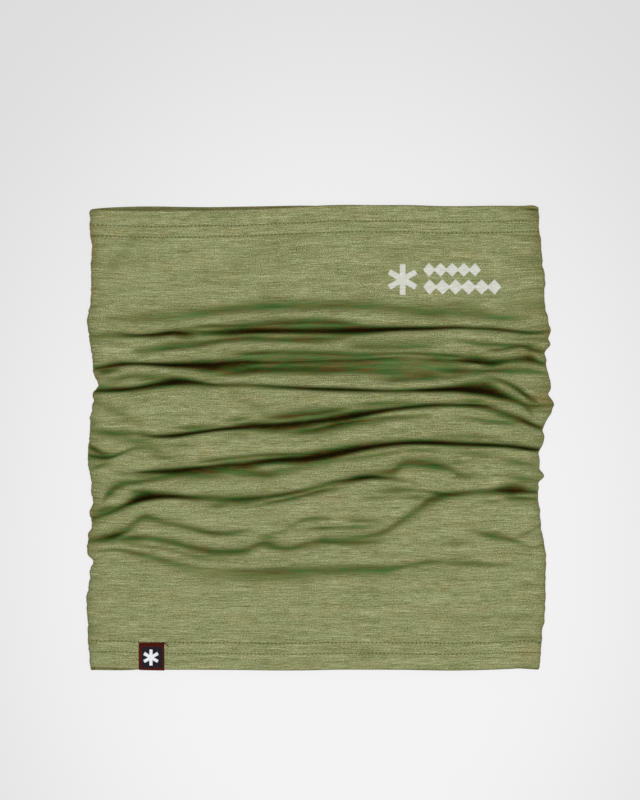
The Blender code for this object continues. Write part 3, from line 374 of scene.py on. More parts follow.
# Rounded ridges of the bunched cloth: a run of (X, Y, height) and a half width.
RIDGES = [
    ([(-120, 62, .4), (-90, 62.6, .8), (-60, 65, 1), (-25, 66.6, 1), (10, 66.8, 1), (35, 64.4, .8),
      (70, 63, .8), (115, 61, .6)], 3.6),
    ([(-120, 44.5, .8), (-90, 44.6, 1.2), (-60, 46.5, 1.4), (-20, 50, 1.4), (15, 52, 1.4),
      (45, 54.5, 1.4), (80, 56, 1.2), (110, 54, .8)], 3.6),
    ([(-122, 32.5, .6), (-100, 36.8, 1), (-75, 35.5, 1.2), (-40, 32.4, 1.2), (0, 31.2, 1.4),
      (40, 28.8, 1.4), (75, 30.6, 1.4), (96, 34, 1)], 2.8),
    ([(99, 33.5, .6), (106, 31.4, 1.2), (112, 27.2, 1.4), (119, 22.2, 1.2), (126, 20.5, .8)], 2.4),
    ([(-124, 10, .6), (-95, 14, 1.4), (-60, 19.5, 1.6), (-20, 20.6, 1.4), (30, 21.8, 1.2),
      (70, 22.4, 1.2), (100, 18.6, 1.2), (116, 12.5, .9)], 4.4),
    ([(-122, -4, .6), (-112, -4.6, .8), (-95, -10.6, 1.2), (-60, -6, 1.6), (-20, -3.4, 1.8),
      (20, 2.4, 1.8), (50, 6.6, 1.8), (90, 5, 1.4), (118, 0, 1)], 5),
    ([(-122, -33, .4), (-106, -28, .8), (-85, -26, 1.4), (-50, -26.6, 1.4), (-20, -24, 1.2),
      (10, -17.6, 1.4), (30, -13.4, 1.2), (60, -8.6, 1.2), (90, -14.4, 1), (116, -16, .8)], 4.4),
    ([(-122, -50, .6), (-104, -42.6, .9), (-80, -39.6, 1.2), (-40, -41.4, 1.2), (0, -37, 1.2),
      (30, -34, 1.2), (46, -35, .8)], 4.6),
    ([(60, -43.5, .4), (80, -42, .8), (105, -42, .8), (118, -43, .4)], 5),
    ([(-120, -59.4, .6), (-104, -60.6, .5), (-84, -64.4, .6), (-50, -68, 1), (-15, -66.5, 1.1),
      (25, -64.5, 1), (60, -61, .8), (100, -62, .5)], 3.4),
]

# Warm brown patches at the seams and corners: (X, Y, half width, half height, strength)
WARM = [(122, 20, 6, 4.5, .9), (-126, -40, 3.5, 5, .9), (116, 126, 5, 1.6, .9),
        (119, 112, 1.6, 12, .7), (123, 57, 5, 3, .7), (118, 48, 6, 3, .6),
        (-124, 103, 2.2, 14, .7), (114, -119, 7, 5, .5), (-126, -55, 3, 6, .6),
        (124, 30, 4, 3, .5), (-124, 30, 3, 8, .5), (120, -30, 3, 4, .6), (-124, 82, 2, 10, .4),
        (-20, 126.6, 30, 1.2, .5)]

CORE = 1.25                  # half width of the pinched line of a tight crease
CORE_SHARE = 0.15            # its share of the depth
SHARPNESS = 3.0              # how cleanly one crease takes over from another
PROFILE = 1.9                # how squarely a crease's sides fall
SHORTEST, LONGEST = 0.6, 20.0    # limits of a crease's reach
DROP = 0.75                  # geometric depth for each unit of a crease's depth
RISE = 0.8                   # geometric height for each unit of a ridge's height
LEAN = 0.11                  # how far the lip leans over, for each unit of depth
DEEPEST = 6.6                # the crease depth that gets the darkest painted shade
PINCH_PITCH, PINCH_HALF = 3.6, 0.9   # the short pinches along the side seams
PINCH_LOW, PINCH_HIGH = -112, 116
LONG_PINCH_Y, STRONG_PINCH_Y = 62, -60   # above these: longer at the right, and deeper
RIPPLES = ((0.25, 3, 80, 13), (0.10, 5, 30, 5))      # height, seed, and the two lengths

SIDE_BLEND = 14.0            # how far in the columns follow the side outlines
SCALLOP = 0.16               # size of the small waves of the side edges
SMOOTH_ACROSS = 12.0         # how far the courses keep straight across the tube
HEM_STEP = 0.4               # how much the layer inside a hem lifts the cloth
NEEDLE_DIP, NEEDLE_DIP_HALF = 0.22, 0.7   # how the needle rows draw the cloth in
SEAM_GAP = 0.9               # half the height between the panels at their side edges
PUCKER = 0.28                # small waves of the front along its side seams
ALLOWANCE_LIFT = 0.3         # how much the seam allowances lift the front
BACK_HEM_LIFT = 0.32         # how much the hems lift the back's outer layer
SEAM_LIFT, SEAM_WAVE = 0.9, 0.3      # how the side seams rise and wave in the bunch
FRONT_SHOULDER, BACK_SHOULDER = 15.0, 4.5    # widths over which the side edges round over

PLEATS, FIRST_PLEAT, PLEAT_PITCH = 10, 70.0, 15.2    # folds of the back
PLEAT_HEIGHT, PLEAT_HALF = 3.4, 2.0
FLOOR_GAP = 0.03             # under the back panel

TUCK, TUCK_FADE = 1.1, 3.0   # how far a hem's turned-in corners are drawn in
TURN_R = 0.5                 # radius of the side seams' fold
TURN_ANGLES = (30, 60, 90)
TURN_REACH = (2.2, 4.4, SEAM_IN - TURN_R)    # lines of the seam allowances past the fold
TURN_U = (0.5, 1.0, 1.6, 3.8, 6.0, SEAM_IN + 1)
WALL_STEP, WALL_LEAN = 0.585, 0.06   # at a hem, the side goes straight down instead
FOLD_SHADE = 0.6             # painted shade under a hem's fold, given as a crease depth
RIM_WIDTH, HEM_RIM = 1.2, 0.5    # the brown rim of the side seams, and its share in a hem


def fill_out(points):
    """Give every point of a run all of its values."""
    out, reach = [], ()
    for point in points:
        reach = point[3:] or reach
        out.append((*point[:3], *reach))
    return out


def run(points, x):
    """Read a smooth run of (X, value, ...) points at many X, and say which X it covers."""
    p = np.array(sorted(points), float)
    px = p[:, 0]
    x = np.asarray(x, float)
    k = np.clip(np.searchsorted(px, x) - 1, 0, len(px) - 2)
    span = px[k + 1] - px[k]
    t = np.clip((x - px[k]) / span, 0, 1)
    out = []
    for c in range(1, p.shape[1]):
        y = p[:, c]
        m = np.gradient(y, px)
        out.append((2 * t ** 3 - 3 * t ** 2 + 1) * y[k] + (t ** 3 - 2 * t ** 2 + t) * span * m[k]
                   + (3 * t ** 2 - 2 * t ** 3) * y[k + 1] + (t ** 3 - t ** 2) * span * m[k + 1])
    inside = (x >= px[0]) & (x <= px[-1])
    return (*out, inside)


def curve(points, x):
    """A smooth curve through (X, Y) points, held level past its ends."""
    p = sorted(points)
    return run(points, np.clip(x, p[0][0], p[-1][0]))[0]


def ease(t):
    """A smooth step from 0 to 1 while t goes from 0 to 1."""
    t = np.clip(t, 0, 1)
    return t * t * (3 - 2 * t)


def bunch(y):
    """1 across the bunched middle, 0 in the flat zones at both ends."""
    return ease((BUNCH_TOP - y) / FADE_TOP) * ease((y - BUNCH_BOTTOM) / FADE_BOTTOM)


def waviness(x, y, seed, long, short, waves=14):
    """Smooth random waves, long across the tube and short along it, about -1 to 1."""
    draws = np.random.default_rng(seed)
    out = np.zeros_like(x)
    for _ in range(waves):
        kx, ky = draws.normal(0, 1 / long), draws.normal(0, 1 / short)
        out += np.sin(2 * math.pi * (kx * x + ky * y) + draws.uniform(0, 2 * math.pi))
    return out / math.sqrt(waves / 2)


def side_pinches(x, y):
    """Short pinches where the side seams gather the cloth, longer ones at the upper right."""
    draws = np.random.default_rng(17)
    depth = np.zeros_like(x)
    for side in (-1, 1):
        inward = HALF_X - side * (x - CENTRE_X)
        for y0 in np.arange(PINCH_LOW, PINCH_HIGH, PINCH_PITCH):
            longer = (side > 0) * (y0 > LONG_PINCH_Y)
            reach = draws.uniform(5, 13) + 12 * longer * draws.uniform(0.3, 1)
            amount = draws.uniform(0.2, 1.0) + 0.5 * (y0 > STRONG_PINCH_Y)
            d = y - y0 - draws.uniform(-1.2, 1.2) - draws.uniform(-0.2, 0.2) * inward
            pinch = amount * np.exp(-(d / PINCH_HALF) ** 2) * ease(1 - inward / reach)
            depth = np.maximum(depth, pinch)
    return depth


def creases(x, y):
    """Depth of the creases, and how far the cloth leans over them towards -Y."""
    depth = side_pinches(x, y) ** SHARPNESS
    lean = np.zeros_like(x)
    for tight, points in CREASES:
        centre, amount, above, below, inside = run(fill_out(points), x)
        d = y - centre
        amount = np.where(inside, np.maximum(amount, 0), 0)
        reach = np.clip(np.where(d > 0, above, below), SHORTEST, LONGEST)
        form = np.exp(-(np.abs(d) / reach) ** PROFILE)
        if tight:   # its lip rises at the line and dies away over the cloth above it
            form = (1 - CORE_SHARE) * form + CORE_SHARE * np.exp(-(d / CORE) ** 2)
            lip = ease((d + 0.4) / 1.8) * np.exp(-np.maximum(d - 1.4, 0) / 2.4)
            lean += LEAN * np.clip(amount - 2, 0, 4) * lip
        depth += (amount * form) ** SHARPNESS
    return depth ** (1 / SHARPNESS), lean


def front_height(x, y):
    """Height of the front away from the side seams, its lean, and how deep in a crease it is."""
    bunched = bunch(y)
    depth, lean = creases(x, y)
    rise = np.zeros_like(x)
    for points, half in RIDGES:
        centre, amount, inside = run(points, x)
        amount = np.where(inside, np.maximum(amount, 0), 0)
        rise += amount * np.exp(-((y - centre) / half) ** 2)
    small = sum(size * waviness(x, y, seed, long, short) for size, seed, long, short in RIPPLES)
    base = FLAT_TOP + BUNCH_LIFT * bunched
    return base + RISE * rise - DROP * depth + small * (0.25 + 0.75 * bunched), lean, depth


def hem_relief(from_edge, end):
    """How a hem lifts the front over its turned-in layer, and dips along its needle rows."""
    step = HEM_STEP * (1 - ease((from_edge - HEM_IN + 1.2) / 2.4))
    rows = 0.0
    for k in (0, 1):
        away = from_edge - FIRST_ROW[end] - GAUGE * k
        rows = rows + np.exp(-(away / NEEDLE_DIP_HALF) ** 2)
    return step - NEEDLE_DIP * rows


def seam_gap(from_top, from_bottom):
    """Half the height between the two panels at their side edges: twice as much at the hems."""
    hem = 1 - ease((np.minimum(from_top, from_bottom) - HEM_IN - 1) / 5)
    return SEAM_GAP * (1 + hem)


def seam_height(x, y):
    """Height of the line where the two panels meet."""
    side = np.sign(x - CENTRE_X)
    wave = np.sin(y / 5.3 + side) + np.sin(y / 8.1 + 2 * side)
    return SEAM_Z + (SEAM_LIFT + SEAM_WAVE * wave) * bunch(y)


# ---------------------------------------------------------------- the panels' surfaces

def columns():
    """Column positions, closer together towards the side folds."""
    t = np.linspace(-1, 1, COLUMNS)
    return CENTRE_X + HALF_X * ((1 + CROWDING) * t - CROWDING * t ** 5)


def row_positions(rows):
    """Row positions from the top to the bottom, closer together in the bunch."""
    y = [HALF_Y, DENSE_ROWS_Y, -DENSE_ROWS_Y, -HALF_Y]
    shares = [0, END_ROWS, 1 + END_ROWS, 1 + 2 * END_ROWS]
    return np.interp(np.linspace(0, shares[-1], rows), shares, y)


def scallops(y, seed):
    """Small irregular waves of a seam's edge."""
    return SCALLOP * waviness(np.zeros_like(y), y, seed, 60, 5)


def lay(top, bottom, rows):
    """X and Y of a panel's grid, and how far it is to the nearer side, the top and the bottom."""
    a = columns()
    share = ((HALF_Y - row_positions(rows)) / (2 * HALF_Y))[:, None]
    inset = FOLD_R + CLOTH / 2
    y_top = curve(top, a)[None, :] + OUT["top"] - inset
    y_bottom = curve(bottom, a)[None, :] - OUT["bottom"] + inset
    y = y_top * (1 - share) + y_bottom * share
    x0 = np.broadcast_to(a, y.shape)
    left = curve(LEFT, y) - OUT["left"] + CLOTH / 2 + scallops(y, 31)
    right = curve(RIGHT, y) + OUT["right"] - CLOTH / 2 + scallops(y, 32)
    x = (x0 + (left - a[0]) * np.exp(-(x0 - a[0]) / SIDE_BLEND)
         + (right - a[-1]) * np.exp(-(a[-1] - x0) / SIDE_BLEND))
    return x, y, np.minimum(x - left, right - x), y_top - y, y - y_bottom


def rounded(inward, wide):
    """How far the cloth has come up from its side edge: 0 at the edge, 1 inside."""
    t = np.clip(inward / wide, 0, 1)
    return (1 - (1 - t) ** 3.2) ** (1 / 2.2)


def front_surface():
    """The middle of the front panel's cloth, without what is turned in, and its crease depth,
    which sets its painted shade.
    """
    x, y, inward, from_top, from_bottom = lay(FRONT_TOP, FRONT_BOTTOM, FRONT_ROWS)
    h, lean, depth = front_height(x, y)
    h = h + hem_relief(from_top, "top") + hem_relief(from_bottom, "bottom")
    pucker = waviness(x, y, 21, 60, 4.5) * np.exp(-((inward - 3) / 6) ** 2)
    allowance = 1 - ease((inward - SEAM_IN + 0.5) / 2.0)
    h = h + PUCKER * pucker + ALLOWANCE_LIFT * allowance
    seam = seam_height(x, y) + seam_gap(from_top, from_bottom)
    z = seam + (h - seam) * rounded(inward, FRONT_SHOULDER)
    surface = np.stack([x, y - lean * ease(inward / 6), z], axis=2)
    return surface, depth * ease(inward / 3 + 0.4)


def back_surface():
    """The middle of the back panel's cloth, lying on the floor, and the painted shade of its
    pleats, as a crease depth from their height.
    """
    x, y, inward, from_top, from_bottom = lay(BACK_TOP, BACK_BOTTOM, BACK_ROWS)
    draws = np.random.default_rng(8)
    pleats = np.zeros_like(x)
    for k in range(PLEATS):
        y0 = FIRST_PLEAT - k * PLEAT_PITCH + draws.uniform(-3, 3)
        line = (y0 + draws.uniform(-5, 5) * x / 125 + 3 * np.sin(x / draws.uniform(30, 55) + k)
                + 1.2 * np.sin(x / draws.uniform(11, 18) + 2 * k))
        height = PLEAT_HEIGHT * (0.8 + 0.2 * np.sin(x / draws.uniform(25, 50) + 3 * k))
        pleats = np.maximum(pleats, height * np.exp(-((y - line) / PLEAT_HALF) ** 2))
    hem = 1 - ease((np.minimum(from_top, from_bottom) - HEM_IN) / 3)
    free = ease((inward - 5) / 12)
    h = CLOTH / 2 + FLOOR_GAP + BACK_HEM_LIFT * hem + pleats * free
    seam = seam_height(x, y) - seam_gap(from_top, from_bottom)
    z = seam + (h - seam) * rounded(inward, BACK_SHOULDER)
    return np.stack([x, y, z], axis=2), 0.8 * pleats * free


def normals(p):
    """Unit normals of a grid of points, pointing up."""
    n = np.cross(np.gradient(p, axis=0), np.gradient(p, axis=1))
    return n / np.maximum(np.linalg.norm(n, axis=2, keepdims=True), 1e-9)


def cloth_lengths(p):
    """Cloth coordinates in mm: U across from the middle, V along the cloth from the top.

    V counts from the top edge near the top and back from the bottom edge near the bottom, so
    that the courses run parallel to both hems.
    """
    step = np.linalg.norm(np.diff(p[:, :, 1:], axis=0), axis=2)
    along = np.concatenate([np.zeros((1, p.shape[1])), np.cumsum(step, axis=0)])
    gap = columns()[:, None] - columns()[None, :]
    weight = np.exp(-(gap / SMOOTH_ACROSS) ** 2)
    along = along @ (weight / weight.sum(axis=0))
    total = along[-1]
    whole = total.mean()
    share = ease((along / total - 0.3) / 0.4)
    v = along * (1 - share) + (whole - (total - along)) * share
    return np.broadcast_to(columns(), v.shape), v, whole


def grid_index(shape):
    """The four corners of each quad of a grid, as the points' numbers."""
    index = np.arange(shape[0] * shape[1]).reshape(shape)
    return index[:-1, :-1], index[:-1, 1:], index[1:, 1:], index[1:, :-1]


class Panel:
    """A laid panel: its surface, its cloth coordinates, and its outer side."""

    def __init__(self, surface, flip):
        self.points, self.depth = surface
        self.flip = flip
        self.outer = normals(self.points) * flip
        self.u, self.v, self.length = cloth_lengths(self.points)
        quads = np.stack(grid_index(self.v.shape), axis=-1)
        self.tree = BVHTree.FromPolygons([Vector(q) for q in self.points.reshape(-1, 3)],
                                         quads.reshape(-1, 4).tolist())
        middle = self.points[:, self.points.shape[1] // 2]
        self.from_end = {"top": np.linalg.norm(middle - middle[0], axis=1),
                         "bottom": np.linalg.norm(middle - middle[-1], axis=1)}

    def above(self, x, y, lift):
        """The point at X, Y, lifted off the outer face."""
        start = Vector((x, y, 60.0 * self.flip))
        found, normal, _, _ = self.tree.ray_cast(start, Vector((0, 0, -self.flip)))
        if normal.z * self.flip < 0:
            normal = -normal
        return np.array(found + normal * (CLOTH / 2 + lift))

    def course(self, v, spots):
        """Points and outer normals along the course at V, at the given U."""
        out = []
        for grid in (self.points, self.outer):
            each = np.array([[np.interp(v, self.v[:, j], grid[:, j, c]) for c in range(3)]
                             for j in range(self.v.shape[1])])
            out.append(np.stack([np.interp(spots, self.u[0], each[:, c]) for c in range(3)],
                                axis=-1))
        return out

    def row_at(self, end, number):
        """V of a needle row: 0 is the one nearer to the end."""
        inward = FIRST_ROW[end] - (FOLD_R + CLOTH / 2) + GAUGE * number
        return inward if end == "top" else self.length - inward


# ---------------------------------------------------------------- meshes

def hem_lines(panel, end):
    """A hem's turned-in lines, from its raw edge up to the fold: points, U, V and shade."""
    p, n, u, v = panel.points, panel.outer, panel.u, panel.v
    inward = np.minimum(u[0] - u[0, 0], u[0, -1] - u[0])
    tuck = np.zeros((len(inward), 3))
    tuck[:, 0] = TUCK * np.exp(-inward / TUCK_FADE) * np.sign(CENTRE_X - u[0])
    none = np.zeros(len(inward))
    rows, out_y = list(range(len(v))), 1
    if end == "bottom":
        rows, out_y = rows[::-1], -1
    inner = [i for i in rows[3:] if panel.from_end[end][i] <= HEM_IN][::3]
    lines = [(p[i] - n[i] * 2 * FOLD_R + tuck, u[i], v[i], none) for i in inner[::-1]]
    i = rows[0]
    for degrees in range(-90, 90, 30):
        a = math.radians(degrees)
        under = (1 - math.sin(a)) / 2
        outward = np.array([0, out_y * FOLD_R * math.cos(a), 0])
        point = p[i] + outward - n[i] * 2 * FOLD_R * under + tuck * under ** 2
        lines.append((point, u[i], v[i] - out_y * FOLD_R * (math.pi / 2 - a), none + FOLD_SHADE))
    return lines


def side_turn(edge, side, flip, in_hem):
    """Lines inward from a side edge: the seam's fold and allowance, or at a hem a wall."""
    strip = []
    for k, degrees in enumerate(TURN_ANGLES):
        a = math.radians(degrees)
        fold = np.array([side * TURN_R * (1 - math.cos(a)), 0, -flip * TURN_R * math.sin(a)])
        wall = np.array([side * WALL_LEAN * k * k, 0, -flip * WALL_STEP * (k + 1)])
        strip.append(edge + fold * (1 - in_hem) + wall * in_hem)
    for further in TURN_REACH:
        strip.append(strip[2] + np.array([side * further, 0, 0]) * (1 - in_hem))
    return np.stack(strip, axis=1)


def turned_sheet(name, panel):
    """A panel's mesh, with its hems and its seam allowances turned in."""
    top, bottom = hem_lines(panel, "top"), hem_lines(panel, "bottom")[::-1]
    lines = top + list(zip(panel.points, panel.u, panel.v, panel.depth)) + bottom
    points, us, vs, shade = (np.stack([line[k] for line in lines]) for k in range(4))
    first, last = len(top), len(lines) - len(bottom)

    from_end = np.zeros(len(lines))
    from_end[first:last] = np.minimum(panel.from_end["top"], panel.from_end["bottom"])
    in_hem = (1 - ease((from_end - HEM_IN - 1.0) / 3))[:, None]
    left, right = (side_turn(points[:, column], side, panel.flip, in_hem)
                   for side, column in ((1, 0), (-1, -1)))
    points = np.concatenate([left[:, ::-1], points, right], axis=1)
    turned = left.shape[1]
    past = np.array(TURN_U)
    us = np.concatenate([us[:, :1] - past[::-1], us, us[:, -1:] + past], axis=1)
    vs = np.pad(vs, ((0, 0), (turned, turned)), mode="edge")
    shade = np.pad(shade, ((0, 0), (turned, turned)))

    from_side = np.minimum(us - us[:, turned:turned + 1], us[:, -turned - 1:-turned] - us)
    rim = np.clip(RIM_WIDTH - from_side, 0, 1)
    for inside in (slice(0, first), slice(last, None)):
        rim[inside] = np.maximum(rim[inside], HEM_RIM)

    # left out: the sides of the turned-in hems, and the allowances where a wall stands instead
    keep = np.ones((us.shape[0] - 1, us.shape[1] - 1), bool)
    for cut in (slice(0, first), slice(last - 1, None)):
        keep[cut, :turned] = False
        keep[cut, -turned:] = False
    walled = (in_hem[:-1, 0] > 0.02) & (in_hem[1:, 0] > 0.02)
    allowance = len(TURN_REACH)
    keep[walled, :allowance] = False
    keep[walled, -allowance:] = False
    return grid_mesh(name, points, us, vs, shade, rim, keep, panel.flip)


def new_item(name, mesh):
    """An object for a mesh, shaded smooth and put in the scene."""
    mesh.shade_smooth()
    item = bpy.data.objects.new(name, mesh)
    bpy.context.scene.collection.objects.link(item)
    return item


def set_uv(mesh, pairs):
    """Store a cloth coordinate pair for each vertex, in mm, as a UV map in units of 100 mm."""
    layer = mesh.uv_layers.new(name="cloth")
    loops = np.zeros(len(mesh.loops), np.int32)
    mesh.loops.foreach_get("vertex_index", loops)
    layer.data.foreach_set("uv", (pairs[loops] / UV_UNIT).astype(np.float32).ravel())


def warmth(points):
    """How warm the cloth is tinted at each point."""
    out = np.zeros(points.shape[:2])
    for x, y, wide, high, strength in WARM:
        away = ((points[..., 0] - x) / wide) ** 2 + ((points[..., 1] - y) / high) ** 2
        out = np.maximum(out, strength * np.exp(-away))
    return out


def grid_mesh(name, points, us, vs, shade, rim, keep, flip=1):
    """A mesh of quads from a grid of points, with its cloth coordinates and its shading values.

    The colour attribute "look" holds the crease depth, which sets the painted shade, the rim and
    the warmth of each point.
    """
    corners = [index[keep] for index in grid_index(us.shape)]
    quads = np.stack(corners[::-1] if flip > 0 else corners, axis=1)
    used = np.unique(quads)
    renumber = np.full(us.size, -1)
    renumber[used] = np.arange(len(used))
    mesh = bpy.data.meshes.new(name)
    mesh.from_pydata((points.reshape(-1, 3)[used] * MM).tolist(), [], renumber[quads].tolist())
    set_uv(mesh, np.stack([us.ravel()[used], vs.ravel()[used]], axis=1))
    look = mesh.attributes.new("look", "FLOAT_COLOR", "POINT")
    values = np.ones((len(used), 4), np.float32)
    values[:, 0] = np.clip(shade.ravel()[used] / DEEPEST, 0, 1)
    values[:, 1] = rim.ravel()[used]
    values[:, 2] = warmth(points).ravel()[used]
    look.data.foreach_set("color", values.ravel())
    return new_item(name, mesh)


def thicken(item, amount):
    """Give a sheet its thickness, evenly about its middle."""
    modifier = item.modifiers.new("thickness", "SOLIDIFY")
    modifier.thickness = amount * MM
    modifier.offset = 0.0
    return item


def threads(name, paths, radius, sides=6):
    """One mesh of round threads that follow the given paths."""
    verts, faces = [], []
    for path in paths:
        p = np.asarray(path, float)
        tangent = np.gradient(p, axis=0)
        tangent /= np.maximum(np.linalg.norm(tangent, axis=1, keepdims=True), 1e-9)
        side = np.cross(tangent, (0.0, 0.0, 1.0))
        upright = np.linalg.norm(side, axis=1) < 0.2
        side[upright] = np.cross(tangent[upright], (0.0, 1.0, 0.0))
        side /= np.linalg.norm(side, axis=1, keepdims=True)
        other = np.cross(side, tangent)
        start, count = len(verts), len(p)
        for k in range(sides):
            angle = 2 * math.pi * k / sides
            around = math.cos(angle) * side + math.sin(angle) * other
            verts.extend((p + radius * around).tolist())
            here, after = start + k * count, start + (k + 1) % sides * count
            faces += [(here + i, here + i + 1, after + i + 1, after + i)
                      for i in range(count - 1)]
        faces.append([start + k * count for k in range(sides)])
        faces.append([start + k * count + count - 1 for k in reversed(range(sides))])
    mesh = bpy.data.meshes.new(name)
    mesh.from_pydata((np.array(verts) * MM).tolist(), [], faces)
    return new_item(name, mesh)


# ---------------------------------------------------------------- materials

class Nodes:
    """Short ways to build a material's node tree."""

    def __init__(self, name):
        self.material = bpy.data.materials.new(name)
        self.material.use_nodes = True
        self.tree = self.material.node_tree
        self.shader = self.tree.nodes["Principled BSDF"]

    def node(self, kind, **settings):
        """A new node with the given settings."""
        made = self.tree.nodes.new(kind)
        for key, value in settings.items():
            setattr(made, key, value)
        return made

    def feed(self, socket, value):
        """Link an output to a socket, or set the socket to a value."""
        if isinstance(value, bpy.types.NodeSocket):
            self.tree.links.new(value, socket)
        else:
            socket.default_value = value

    def made(self, kind, output, inputs, **settings):
        """The output of a new node with the given inputs and settings."""
        node = self.node(kind, **settings)
        for key, value in inputs.items():
            self.feed(node.inputs[key], value)
        return node.outputs[output]

    def math(self, operation, a, b=0.0, c=0.0):
        """A number worked out from up to three others."""
        return self.made("ShaderNodeMath", 0, {0: a, 1: b, 2: c}, operation=operation)

    def split(self, kind, value):
        """The parts of a vector or a colour."""
        node = self.node(kind)
        self.feed(node.inputs[0], value)
        return node.outputs

    def mapped(self, coords, scale, location=(0, 0, 0)):
        """Coordinates stretched, then moved."""
        return self.made("ShaderNodeMapping", 0,
                         {"Vector": coords, "Scale": scale, "Location": location})

    def piece_coords(self, scale, location=(0, 0, 0)):
        """A piece's own coordinates in metres, stretched, then moved."""
        coords = self.node("ShaderNodeTexCoord").outputs["Object"]
        return self.mapped(coords, scale, location)

    def cloth_uv(self, scale_u, scale_v):
        """Cloth coordinates divided by the given lengths in mm."""
        uv = self.node("ShaderNodeUVMap", uv_map="cloth").outputs[0]
        return self.mapped(uv, (UV_UNIT / scale_u, UV_UNIT / scale_v, 1))

    def cloth_mm(self):
        """U and V in mm."""
        uv = self.node("ShaderNodeUVMap", uv_map="cloth").outputs[0]
        parts = self.split("ShaderNodeSeparateXYZ", uv)
        return [self.math("MULTIPLY", parts[k], UV_UNIT) for k in (0, 1)]

    def noise(self, vector, detail=2.0, rough=0.5, offset=None):
        """Noise with features of about one unit. Each offset gives another pattern."""
        inputs = {"Vector": vector, "Scale": 1.0, "Detail": detail, "Roughness": rough}
        if offset is None:
            return self.made("ShaderNodeTexNoise", "Fac", inputs)
        return self.made("ShaderNodeTexNoise", "Fac", {**inputs, "W": offset},
                         noise_dimensions="4D")

    def mix(self, factor, a, b, blend="MIX"):
        """Two colours mixed."""
        return self.made("ShaderNodeMix", "Result", {"Factor": factor, "A": a, "B": b},
                         data_type="RGBA", blend_type=blend)

    def tint(self, factor, base, colour):
        """A colour multiplied by another, as far as the factor says."""
        return self.mix(factor, base, colour, "MULTIPLY")

    def ramp(self, factor, low, high, to_low=0.0, to_high=1.0):
        """A smooth step between two values."""
        return self.made("ShaderNodeMapRange", "Result",
                         {"Value": factor, "From Min": low, "From Max": high,
                          "To Min": to_low, "To Max": to_high}, interpolation_type="SMOOTHSTEP")

    def colours(self, factor, stops):
        """A colour ramp through (position, linear colour) stops."""
        made = self.node("ShaderNodeValToRGB")
        self.feed(made.inputs["Fac"], factor)
        elements = made.color_ramp.elements
        while len(elements) < len(stops):
            elements.new(1.0)
        for element, (position, colour) in zip(elements, stops):
            element.position = position
            element.color = (*colour[:3], 1.0)
        return made.outputs["Color"]

    def bump(self, height, distance, strength=1.0):
        """A normal that follows a height, whose full range stands for a distance in mm."""
        return self.made("ShaderNodeBump", "Normal", {"Height": height, "Strength": strength,
                                                      "Distance": distance * MM})

    def finish(self, colour, roughness, specular, normal):
        """Set the shader, and give back the material."""
        for key, value in (("Base Color", colour), ("Roughness", roughness),
                           ("Specular IOR Level", specular), ("Normal", normal)):
            self.feed(self.shader.inputs[key], value)
        return self.material


def srgb(red, green, blue):
    """An 8-bit display colour as a linear RGBA value."""
    out = []
    for c in (red, green, blue):
        c = c / 255
        out.append(c / 12.92 if c <= 0.04045 else ((c + 0.055) / 1.055) ** 2.4)
    return (*out, 1.0)


# Heathered fibre, from the darkest to the lightest
OLIVES = [(0.0, srgb(79, 82, 42)), (0.36, srgb(119, 122, 79)), (0.56, srgb(138, 141, 98)),
          (1.0, srgb(184, 187, 143))]
# Painted shade of the creases: how a crease's depth, from none to the deepest, darkens the cloth,
# greener, then brown
CREASE_SHADE_RAMP = [(0.0, (1, 1, 1)), (0.08, (.87, .88, .83)), (0.17, (.71, .73, .62)),
               (0.25, (.55, .58, .42)), (0.36, (.38, .42, .25)), (0.46, (.25, .27, .12)),
               (0.58, (.14, .13, .04)), (0.72, (.07, .045, .007)), (1.0, (.03, .016, .001))]
# Tints: of the fibre, of the painted shade in valleys and slots, and of the warm patches
COOL, WARMER = (0.92, 1.02, 0.97, 1), (1.08, 0.985, 0.95, 1)
VALLEY_SHADE_GREEN, SLOT_SHADE_BROWN = (0.64, 1.10, 0.98, 1), (1.34, 0.84, 0.93, 1)
PATCH_BROWN = (1.08, 0.79, 0.69, 1)
# the brown of the rim, and the dark olive of the shade painted into the needle holes
RIM_BROWN, HOLE_SHADE = srgb(104, 80, 46), srgb(58, 60, 26)
OLIVE_THREAD = srgb(132, 134, 84)


def paint_crease_shade(m, base, look, short_streak, grain):
    """Paint shade into the cloth by its crease depth, darker, greener, then brown; tint its warm
    patches and its rim.
    """
    depth, rim, warm = look[0], look[1], look[2]
    wobble = m.math("ADD", m.math("MULTIPLY_ADD", short_streak, 1.2, -0.45),
                    m.math("MULTIPLY", grain, 1.7))
    # painted shade: the deeper the crease, the darker the cloth, with grainy edges
    base = m.tint(1.0, base, m.colours(m.math("MULTIPLY", depth, wobble), CREASE_SHADE_RAMP))
    # hue of the painted shade: green in the valleys, brown in the deep slots, chosen by a noise
    shadow_hue = m.noise(m.cloth_uv(15, 4.0), 3.0, 0.65, 6.0)
    valley_shade = m.math("MULTIPLY", m.ramp(depth, 0.12, 0.36), m.ramp(depth, 0.9, 0.6))
    green = m.math("MULTIPLY", m.ramp(shadow_hue, 0.55, 0.40), valley_shade)
    base = m.tint(green, base, VALLEY_SHADE_GREEN)
    brown = m.math("MULTIPLY", m.ramp(shadow_hue, 0.50, 0.60), m.ramp(depth, 0.24, 0.5))
    base = m.tint(brown, base, SLOT_SHADE_BROWN)
    patch = m.math("MULTIPLY", warm, m.ramp(short_streak, 0.3, 0.62, 0.4, 1.0))
    base = m.tint(patch, base, PATCH_BROWN)
    edge = m.math("MULTIPLY", rim, m.ramp(short_streak, 0.3, 0.6, 0.5, 0.9))
    return m.mix(m.math("MULTIPLY", edge, 0.55), base, RIM_BROWN)


